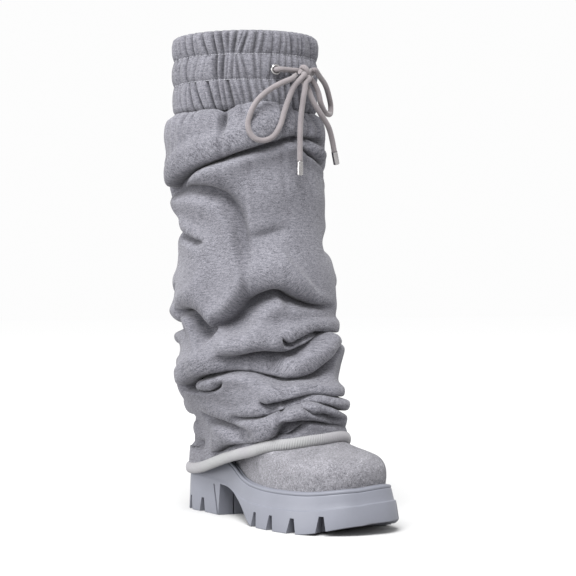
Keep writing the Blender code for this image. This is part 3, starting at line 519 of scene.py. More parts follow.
rubber = Finish("moulded_rubber", {"Roughness": 0.5, "Specular IOR Level": 0.42})
place = rubber.place()
clouds = rubber.noise(place, 28.0)
grain = rubber.noise(place, 900.0, 4.0, 0.6)
specks = rubber.noise(place, 2600.0, 2.0)
shade = rubber.mixed(
    rubber.span(clouds + 0.35 * grain, 0.45, 0.9),
    tuple(c * 0.94 for c in RUBBER_GREY),
    tuple(c * 1.05 for c in RUBBER_GREY),
)
rubber.feed("Base Color", shade)
rubber.feed("Roughness", rubber.span(grain, 0.3, 0.7, 0.46, 0.58))
eased_edges = rubber.node("ShaderNodeBevel", {"samples": 6}, {"Radius": 0.0006})
rubber.raised(((grain, 0.00006), (specks, 0.00002)), eased_edges)

sole_rings = wall_rings(WALL_ROWS)
sole_rings.append(on_sole(RIM_WIDTH, 0.0))
sole_rings.append(on_sole(RIM_WIDTH, -CUP_DEPTH))
sole_rings = np.array(sole_rings)
rows = len(sole_rings)
sole_faces = ring_faces(rows, RING_POINTS) + cap_faces(0, SIDE_STEPS)
sole_faces += cap_faces((rows - 1) * RING_POINTS, SIDE_STEPS)
sole = piece("sole_unit", sole_rings.reshape(-1, 3), sole_faces, rubber, SOLE_SMOOTH_ANGLE)
blocks = [arch_tunnel()]
blocks += [notch(share, -1) for share in OUTER_NOTCHES] + [notch(share, 1) for share in INNER_NOTCHES]
blocks += [cross_channel(share) for share in CROSS_CHANNELS]
blocks += [corner_slot(-1), corner_slot(1), breast_groove(-1), breast_groove(1)]
cutters = [piece(f"cutter_{k}", *block, rubber) for k, block in enumerate(blocks)]
for made in cutters:
    cut = sole.modifiers.new(made.name, "BOOLEAN")
    cut.operation = "DIFFERENCE"
    cut.solver = "EXACT"
    cut.object = made
cut_sole = worked_mesh(sole)
sole.modifiers.clear()
sole.data = cut_sole
for made in cutters:
    bpy.data.objects.remove(made)
sole.data.shade_smooth()
sole.data.set_sharp_from_angle(angle=math.radians(SOLE_SMOOTH_ANGLE))
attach(sole, "root")
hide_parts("sole")

# The welt
# A bead of the same rubber that lies along the sole's top edge against the cloth, with a fine groove
# between the round bead and the flat strip behind it.
WELT_HEIGHT = 0.0032
WELT_WIDTH = 0.0046
WELT_SETBACK = 0.0004
WELT_ROWS = (
    (0.10, -0.14),
    (0.03, 0.04),
    (0.00, 0.20),
    (-0.02, 0.42),
    (0.05, 0.68),
    (0.20, 0.86),
    (0.36, 0.90),
    (0.48, 0.78),
    (0.54, 0.62),
    (0.60, 0.62),
    (0.68, 0.80),
    (0.80, 1.00),
    (0.93, 1.00),
    (1.00, 0.85),
    (1.00, 0.00),
)
welt_rings = np.array([
    on_sole(WELT_SETBACK + inward * WELT_WIDTH, GAP + up * WELT_HEIGHT) for inward, up in WELT_ROWS
])
welt = piece(
    "welt_bead", welt_rings.reshape(-1, 3), ring_faces(len(WELT_ROWS), RING_POINTS, closed=True), rubber
)
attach(welt, "root")
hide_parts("welt")

# The insole
# A thin foam sock with a napped grey cloth face, glued down in the sole's cup. Its plain solid is kept,
# and only its cloth is added here.
nap = Finish("insole_cloth", {"Roughness": 0.95, "Sheen Weight": 0.3, "Sheen Roughness": 0.5})
place = nap.place()
pile = nap.noise(place, 700.0, 4.0, 0.65)
nap.feed("Base Color", nap.mixed(nap.span(pile, 0.35, 0.65), (0.20, 0.20, 0.21), (0.30, 0.30, 0.32)))
nap.raised(((pile, 0.0003),))
insole_materials = bpy.data.objects["insole"].data.materials
insole_materials.clear()
insole_materials.append(nap.material)

# The upper
# Grey wool felt, pulled over a last with a full round toe and running up inside the shaft as the inner
# leg. The felt is thick and hairy, with short curled fibres in lighter and darker greys.
UPPER_WALL = 0.0025
ANKLE_HEIGHT = 0.172
UPPER_TOP_DROP = 0.003
ANKLE_HALF_WIDTH = 0.043
ANKLE_HALF_LENGTH = 0.051
BOOT_HEIGHT = 0.454
WAISTBAND_WALL = 0.0045
WAIST_HALF_WIDTH = 0.0665
WAIST_HALF_LENGTH = 0.0725
UPPER_ROWS = 90
# The shares of the length over which the toe's and the heel's own sections give way to the side's
TOE_PART_START = 0.45
TOE_PART_RUN = 0.5
HEEL_PART_END = 0.35
Last = namedtuple("Last", "toe_rise toe_in side_rise side_in heel_rise heel_in")
LAST_ROWS = (
    Last(0.000, 0.000, 0.00, 0.00, 0.00, 0.00),
    Last(0.050, -0.008, 0.06, -0.06, 0.07, -0.02),
    Last(0.105, -0.004, 0.12, -0.05, 0.15, 0.00),
    Last(0.152, 0.022, 0.17, 0.02, 0.23, 0.08),
    Last(0.186, 0.075, 0.22, 0.12, 0.31, 0.25),
    Last(0.210, 0.170, 0.27, 0.25, 0.39, 0.50),
    Last(0.235, 0.300, 0.33, 0.39, 0.47, 0.72),
    Last(0.276, 0.440, 0.42, 0.54, 0.56, 0.87),
    Last(0.370, 0.590, 0.55, 0.70, 0.67, 0.95),
    Last(0.540, 0.760, 0.69, 0.84, 0.78, 0.98),
    Last(0.770, 0.920, 0.84, 0.95, 0.89, 1.00),
    Last(1.000, 1.000, 1.00, 1.00, 1.00, 1.00),
)
InnerLeg = namedtuple("InnerLeg", "share spread")
INNER_LEG_ROWS = (InnerLeg(0.16, 0.25), InnerLeg(0.45, 0.80), InnerLeg(0.75, 0.98), InnerLeg(1.0, 1.0))


def oval(half_width, half_length, height, centre_y=LEG_Y, count=RING_POINTS):
    """A ring round the leg, starting at the back and going down the outer side."""
    turn = 2 * np.pi * np.arange(count) / count
    x = -half_width * np.sin(turn)
    y = centre_y + half_length * np.cos(turn)
    return level(np.stack([x, y], axis=1), height)


def grid_normals(rings):
    """Outward unit normals of a grid of rings."""
    along = np.gradient(rings, axis=0)
    around = np.roll(rings, -1, axis=1) - np.roll(rings, 1, axis=1)
    normals = np.cross(around, along)
    normals /= np.linalg.norm(normals, axis=2, keepdims=True)
    centre = rings.mean(axis=1, keepdims=True)
    if ((rings - centre) * normals).sum() < 0:
        normals = -normals
    return normals


def refined(rings, rows):
    """The same surface with more rows, smooth through the given ones."""
    shape = rings.shape
    flat = rings.reshape(shape[0], -1)
    steps = np.arange(shape[0])
    where = np.linspace(0, shape[0] - 1, rows)
    fine = np.stack([curve_through(steps, flat[:, k], where) for k in range(flat.shape[1])], axis=1)
    return fine.reshape(rows, *shape[1:])


def upper_inset():
    """How far the upper's outside lies in from the sole's top edge."""
    return max(RIM_WIDTH, WELT_SETBACK + WELT_WIDTH) + GAP


def upper_rings():
    """The upper's outside, from inside the sole's cup to the leg's top."""
    turn = 2 * np.pi * np.arange(RING_POINTS) / RING_POINTS
    forward = (1 - np.cos(turn)) / 2
    toe = soft_step((forward - TOE_PART_START) / TOE_PART_RUN)
    heel = soft_step((HEEL_PART_END - forward) / HEEL_PART_END)
    side = 1 - toe - heel
    foot = on_sole(upper_inset(), GAP + WELT_HEIGHT)
    ankle = oval(ANKLE_HALF_WIDTH, ANKLE_HALF_LENGTH, ANKLE_HEIGHT)
    rings = [on_sole(upper_inset(), -CUP_DEPTH + GAP)]
    for row in LAST_ROWS:
        rise = toe * row.toe_rise + side * row.side_rise + heel * row.heel_rise
        inward = toe * row.toe_in + side * row.side_in + heel * row.heel_in
        ring = foot + (ankle - foot) * inward[:, None]
        ring[:, 2] = foot[:, 2] + (ankle[:, 2] - foot[:, 2]) * rise
        rings.append(ring)
    clearance = WAISTBAND_WALL + GAP
    top = oval(WAIST_HALF_WIDTH - clearance, WAIST_HALF_LENGTH - clearance, BOOT_HEIGHT - UPPER_TOP_DROP)
    for row in INNER_LEG_ROWS:
        ring = ankle + (top - ankle) * row.spread
        ring[:, 2] = ankle[:, 2] + (top[:, 2] - ankle[:, 2]) * row.share
        rings.append(ring)
    return np.array(rings)


def thick_shell(outer, wall):
    """Rings of a closed wall: up the outside and back down the inside."""
    inner = outer - grid_normals(outer) * wall
    inner[0, :, 2] = outer[0, :, 2]
    inner[-1, :, 2] = outer[-1, :, 2]
    return np.concatenate([outer, inner[::-1]])


felt = Finish("wool_felt", {"Sheen Weight": 0.12, "Sheen Roughness": 0.45, "Specular IOR Level": 0.15})
place = felt.place()
curls = felt.noise(place, 420.0, 3.0, 0.6, 2.6)
hairs = felt.noise(felt.scaled(place, (1.0, 1.0, 0.45)), 900.0, 4.0, 0.7, 1.6)
patches = felt.noise(place, 60.0, 3.0)
tone = 0.6 * curls + 0.4 * hairs
tone = felt.span(tone + 0.12 * patches, 0.42, 0.70)
felt.feed("Base Color", felt.mixed(tone, (0.068, 0.067, 0.078), (0.365, 0.360, 0.392)))
felt.feed("Roughness", felt.span(hairs, 0.3, 0.7, 0.9, 1.0))
felt.raised(((curls, 0.0016), (hairs, 0.0006)))

fine_upper = refined(upper_rings(), UPPER_ROWS)
upper_shell = thick_shell(fine_upper, UPPER_WALL)
upper = piece(
    "felt_upper",
    upper_shell.reshape(-1, 3),
    ring_faces(len(upper_shell), RING_POINTS, closed=True),
    felt,
)
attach(upper, "root")
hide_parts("upper")

# The hem
# A fat round cord in an off-white ribbed knit tube, sewn to the shaft's lower edge. It lies over the
# vamp and hugs the heel just above the rubber, and its ribs run slantwise round it.
HEM_HALF_HEIGHT = 0.0053
HEM_HALF_THICKNESS = 0.0035
HEM_CLEARANCE = 0.0006
# The cord is squeezed thinner round the heel than over the vamp
HEM_BACK_SIZE = 0.68
HEM_EASING = 5
HEM_SMOOTHING = 6
CLEAR_TRIES = 4
CLEAR_MARGIN = 1.01
# A point that lies more beside its nearest place than this is moved along the surface's normal
CLEAR_LEAN = 0.5
HEM_FRONT_SHARE = 0.752
HEM_SQUARENESS = 2.5
HEM_HALF_WIDTH = 0.0465
HEM_TAPER = 0.18
HEM_POINTS = 120
HEM_STEPS = 1500
HEM_SIDES = 24
RIB_PITCH = 0.0022
RIB_DEPTH = 0.00065
RIB_SLANT = 4
Hem = namedtuple("Hem", "bearing height")
HEM_ROWS = (
    Hem(-180, 0.088),
    Hem(-140, 0.091),
    Hem(-100, 0.100),
    Hem(-60, 0.118),
    Hem(-30, 0.142),
    Hem(0, 0.156),
    Hem(30, 0.140),
    Hem(60, 0.113),
    Hem(100, 0.094),
    Hem(140, 0.087),
    Hem(180, 0.088),
)


def foot_surface(upper_skin):
    """The outside of the upper, the welt and the sole's side, for finding the nearest place on it."""
    beads = [on_sole(WELT_SETBACK, GAP + WELT_HEIGHT * up) for up in (0.5, 1.0)]
    points, faces = [], []
    for rings in (upper_skin, np.array(wall_rings(WALL_ROWS[3:]) + beads)):
        faces += ring_faces(len(rings), RING_POINTS, len(points))
        points += [tuple(p) for p in rings.reshape(-1, 3)]
    return BVHTree.FromPolygons(points, faces)


def keep_clear(points, surface, beside, above):
    """Moves each point that is too near to the surface out to its distance beside it or above it."""
    moved = points.copy()
    for i in range(len(moved)):
        for _ in range(CLEAR_TRIES):
            nearest, normal, _, _ = surface.find_nearest(moved[i])
            distance = beside + (above - beside) * max(0.0, normal[2])
            away = moved[i] - np.array(nearest)
            depth = float(np.dot(away, normal))
            reach = float(np.linalg.norm(away))
            if depth > 0 and reach >= distance:
                break
            way = away / reach if depth > CLEAR_LEAN * reach > 0 else np.array(normal)
            moved[i] = np.array(nearest) + way * distance * CLEAR_MARGIN
    return moved


def hem_path(surface, count):
    """The middle of the hem cord: square-ended round the heel and over the vamp, resting on both."""
    turn = 2 * np.pi * np.arange(count) / count
    front = HEEL_Y - SOLE_LENGTH * HEM_FRONT_SHARE
    back = HEEL_Y - FLARE_HEEL + HEM_HALF_THICKNESS
    middle, half_length = (front + back) / 2, (back - front) / 2
    power = 2 / HEM_SQUARENESS
    c, s = np.cos(turn), np.sin(turn)
    x = -HEM_HALF_WIDTH * (1 - HEM_TAPER * c / 2) * np.sign(s) * np.abs(s) ** power
    y = middle + half_length * np.sign(c) * np.abs(c) ** power
    bearing = np.degrees(np.arctan2(-x, LEG_Y - y))
    path = np.stack([x, y, BOOT_HEIGHT * read(HEM_ROWS, "height", "bearing", bearing)], axis=1)
    beside = HEM_HALF_THICKNESS * HEM_BACK_SIZE + HEM_CLEARANCE
    above = HEM_HALF_HEIGHT * HEM_BACK_SIZE + HEM_CLEARANCE
    for _ in range(HEM_EASING):
        path = keep_clear(path, surface, beside, above)
        for _ in range(HEM_SMOOTHING):
            path = (np.roll(path, 1, axis=0) + 2 * path + np.roll(path, -1, axis=0)) / 4
    return path


def closed_line(points, count):
    """A closed line with its points evenly spaced along it."""
    looped = np.concatenate([points[-2:], points, points[:3]])
    lengths = np.concatenate([[0.0], np.cumsum(np.linalg.norm(np.diff(looped, axis=0), axis=1))])
    start, stop = lengths[2], lengths[2 + len(points)]
    where = start + (stop - start) * np.arange(count) / count
    line = np.stack([curve_through(lengths, looped[:, a], where) for a in range(3)], axis=1)
    return line, stop - start


class Tree(Nodes):
    """A Geometry Nodes tree with named inputs for its sizes."""

    def __init__(self, name, sizes):
        self.tree = bpy.data.node_groups.new(name, "GeometryNodeTree")
        for way in ("INPUT", "OUTPUT"):
            self.tree.interface.new_socket("Geometry", in_out=way, socket_type="NodeSocketGeometry")
        for size, value in sizes.items():
            kind = "NodeSocketInt" if isinstance(value, int) else "NodeSocketFloat"
            self.tree.interface.new_socket(size, in_out="INPUT", socket_type=kind)
        self.sizes = sizes
        self.start = self.node("NodeGroupInput", {}, {})
        self.end = self.tree.nodes.new("NodeGroupOutput")

    def size(self, name):
        return self.start.other(name)

    def held(self, geometry, value, name):
        """The geometry, and the value kept on it as it is at this step."""
        keeper = self.tree.nodes.new("GeometryNodeCaptureAttribute")
        keeper.capture_items.new("FLOAT", name)
        self.tree.links.new(geometry.socket, keeper.inputs[0])
        self.tree.links.new(value.socket, keeper.inputs[1])
        return Wire(self, keeper.outputs[0]), Wire(self, keeper.outputs[1])

    def run(self, made, shape, finish):
        """Ends the tree in real, finished geometry, runs it on the object, and keeps the plain mesh."""
        shape = self.node("GeometryNodeRealizeInstances", {}, {"Geometry": shape})
        shape = self.node("GeometryNodeSetMaterial", {}, {"Geometry": shape, "Material": finish.material})
        self.tree.links.new(shape.socket, self.end.inputs[0])
        worked = made.modifiers.new("shape", "NODES")
        worked.node_group = self.tree
        for item in self.tree.interface.items_tree:
            if item.in_out == "INPUT" and item.name in self.sizes:
                worked[item.identifier] = self.sizes[item.name]
        name, mesh = made.name, worked_mesh(made)
        bpy.data.objects.remove(made)
        return placed(name, mesh)


def line_object(name, points):
    """A bare closed line in the solids' frame, for a tree to work on."""
    mesh = bpy.data.meshes.new(name)
    edges = [(k, (k + 1) % len(points)) for k in range(len(points))]
    mesh.from_pydata((np.array(points) + SETTING).tolist(), edges, [])
    return placed(name, mesh)


rib_knit = Finish("hem_rib_knit", {"Sheen Weight": 0.2, "Specular IOR Level": 0.25})
place = rib_knit.place()
yarn = rib_knit.noise(place, 1400.0, 3.0, 0.6)
soil = rib_knit.noise(place, 16.0, 2.0)
tint = rib_knit.mixed(rib_knit.span(soil, 0.4, 0.62), (0.270, 0.272, 0.275), (0.262, 0.254, 0.270))
yarn_shade = rib_knit.span(yarn, 0.3, 0.7, 0.0, 0.35)
rib_knit.feed("Base Color", rib_knit.mixed(yarn_shade, tint, (0.195, 0.195, 0.20)))
rib_knit.feed("Roughness", rib_knit.span(yarn, 0.3, 0.7, 0.85, 0.98))
rib_knit.raised(((yarn, 0.0001),))

foot = foot_surface(fine_upper)
path = hem_path(foot, HEM_POINTS)
hem_line, hem_length = closed_line(path, HEM_STEPS)
ribs = Tree(
    "ribbed_tube",
    {
        "half_thickness": HEM_HALF_THICKNESS - RIB_DEPTH,
        "half_height": HEM_HALF_HEIGHT - RIB_DEPTH,
        "rib_depth": RIB_DEPTH,
        "rib_count": float(round(hem_length / RIB_PITCH)),
        "rib_slant": float(RIB_SLANT),
        "half_squeeze": (1 - HEM_BACK_SIZE) / 2,
        "sides": HEM_SIDES,
    },
)
line = ribs.node("GeometryNodeMeshToCurve", {}, {"Mesh": ribs.start})
line = ribs.node("GeometryNodeSetCurveNormal", {"mode": "Z_UP"}, {"Curve": line})
share = ribs.node("GeometryNodeSplineParameter", {}, {})
squeeze = (ribs.maths("COSINE", share * (2 * math.pi)) + 1.0) * ribs.size("half_squeeze")
line = ribs.node("GeometryNodeSetCurveRadius", {}, {"Curve": line, "Radius": 1.0 - squeeze})
line, along = ribs.held(line, share, "along")
section = ribs.node(
    "GeometryNodeCurvePrimitiveCircle", {}, {"Resolution": ribs.size("sides"), "Radius": 1.0}
)
section, around = ribs.held(section, share, "round")
turns = along * ribs.size("rib_count") + around * ribs.size("rib_slant")
wave = ribs.maths("ABSOLUTE", (turns * math.pi).sine())
size = ribs.node(
    "ShaderNodeCombineXYZ", {}, {"X": ribs.size("half_thickness"), "Y": ribs.size("half_height"), "Z": 1.0}
)
section = ribs.node("GeometryNodeTransform", {}, {"Geometry": section, "Scale": size})
tube = ribs.node(
    "GeometryNodeCurveToMesh", {}, {"Curve": line, "Profile Curve": section, "Fill Caps": False}
)
normal = ribs.node("GeometryNodeInputNormal", {}, {})
rise = ribs.node(
    "ShaderNodeVectorMath", {"operation": "SCALE"}, {0: normal, "Scale": wave * ribs.size("rib_depth")}
)
tube = ribs.node("GeometryNodeSetPosition", {}, {"Geometry": tube, "Offset": rise})
hem = ribs.run(line_object("ribbed_hem", hem_line), tube, rib_knit)
hem.data.shade_smooth()
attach(hem, "root")
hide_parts("hem_cord")

# The shaft
# A wide sleeve of grey melange sweat cloth, cut far longer than the leg so that it slumps into deep
# folds. Its upper edge is gathered into the waistband's seam, and its lower edge is sewn to the hem.
LEG_RADIUS = 0.070
WAISTBAND_HEIGHT = 0.074
SEAM_HEIGHT = BOOT_HEIGHT - WAISTBAND_HEIGHT
SHAFT_CLEARANCE = 0.0030
SHAFT_POINTS = 300
SHAFT_ROWS = 320
# The share of the shaft's height over which it takes up the hem's outline, and over which the folds
# and the gathers die away at its ends
HEM_BLEND = 0.17
END_HOLD = 0.05
TOP_HOLD = 0.025
# How high on the hem the cloth is sewn, as a share of the hem's half height
SEWN_HEIGHT = 0.6
# The depth that a fold's share of 1 stands for, and the depth at which the deepest folds level out
FOLD_DEPTH = 0.122
RELIEF_LIMIT = 0.30
LEAST_FOLD_WIDTH = 0.02
# How much narrower an overhanging fold is above its line, and how flat a pocket lies below it
UPPER_SIDE_NARROWING = 0.62
POCKET_FLATNESS = 2.8
# Soft rises and hollows beside a fold's line, in half widths from it: the crevice under an overhang, the
# lobe of cloth over it, the lip below the fold, the sag of the overhang, and the painted shade in the crease
Bump = namedtuple("Bump", "size middle spread")
CREVICE = Bump(0.6, 0.0, 0.30)
LOBE = Bump(0.36, 1.25, 0.8)
LIP = Bump(0.14, -1.9, 0.9)
SAG = Bump(0.50, 0.6, 0.5)
PAINTED_SHADE_BAND = Bump(1.0, 0.0, 0.5)
# The gathers: their size, how fast they fade down the cloth, the ridges beside each, how much each
# draws the cloth down, and the crest of the puffs over the seam
GATHER_SIZE = 1.7
GATHER_FADE = 1.3
GATHER_RIDGES = Bump(0.35, 2.2, 1.0)
GATHER_DRAW = 0.25
PUFF_CREST = Bump(1.0, 0.028, 0.024)
# The broad swells: how many, how fast they change up the leg and round it, and their depth
SWELL_SEED = 5
SWELL_COUNT = 14
SWELLS_UP = (20, 95)
SWELLS_AROUND = (2, 9)
SWELL_DEPTH = 0.00042
# Painted shade makes the cloth darker in its creases, in full at this depth of a fold
CREASE_SHADE_PAINT = 0.55
FOLD_DEPTH_FOR_FULL_SHADE = 0.024
WALE_WIDTH = 0.0011
COURSE_HEIGHT = 0.0009
Shaft = namedtuple("Shaft", "share shift length width taper")
SHAFT_SECTIONS = (
    Shaft(0.00, 0.56, 1.54, 0.70, 0.22),
    Shaft(0.05, 0.56, 1.54, 0.71, 0.22),
    Shaft(0.11, 0.53, 1.52, 0.76, 0.26),
    Shaft(0.17, 0.38, 1.35, 0.91, 0.16),
    Shaft(0.22, 0.38, 1.24, 1.06, 0.04),
    Shaft(0.28, 0.44, 1.23, 1.11, 0.00),
    Shaft(0.34, 0.36, 1.11, 1.05, 0.00),
    Shaft(0.41, 0.30, 1.15, 1.09, 0.00),
    Shaft(0.48, 0.27, 1.14, 1.09, 0.00),
    Shaft(0.58, 0.24, 1.05, 1.01, 0.00),
    Shaft(0.66, 0.23, 1.01, 0.97, 0.00),
    Shaft(0.74, 0.15, 1.08, 1.02, 0.00),
    Shaft(0.82, 0.04, 1.12, 1.06, 0.00),
    Shaft(0.90, 0.03, 1.13, 1.08, 0.00),
    Shaft(0.96, 0.00, 1.11, 1.07, 0.00),
    Shaft(1.00, 0.00, 1.02, 0.96, 0.00),
)

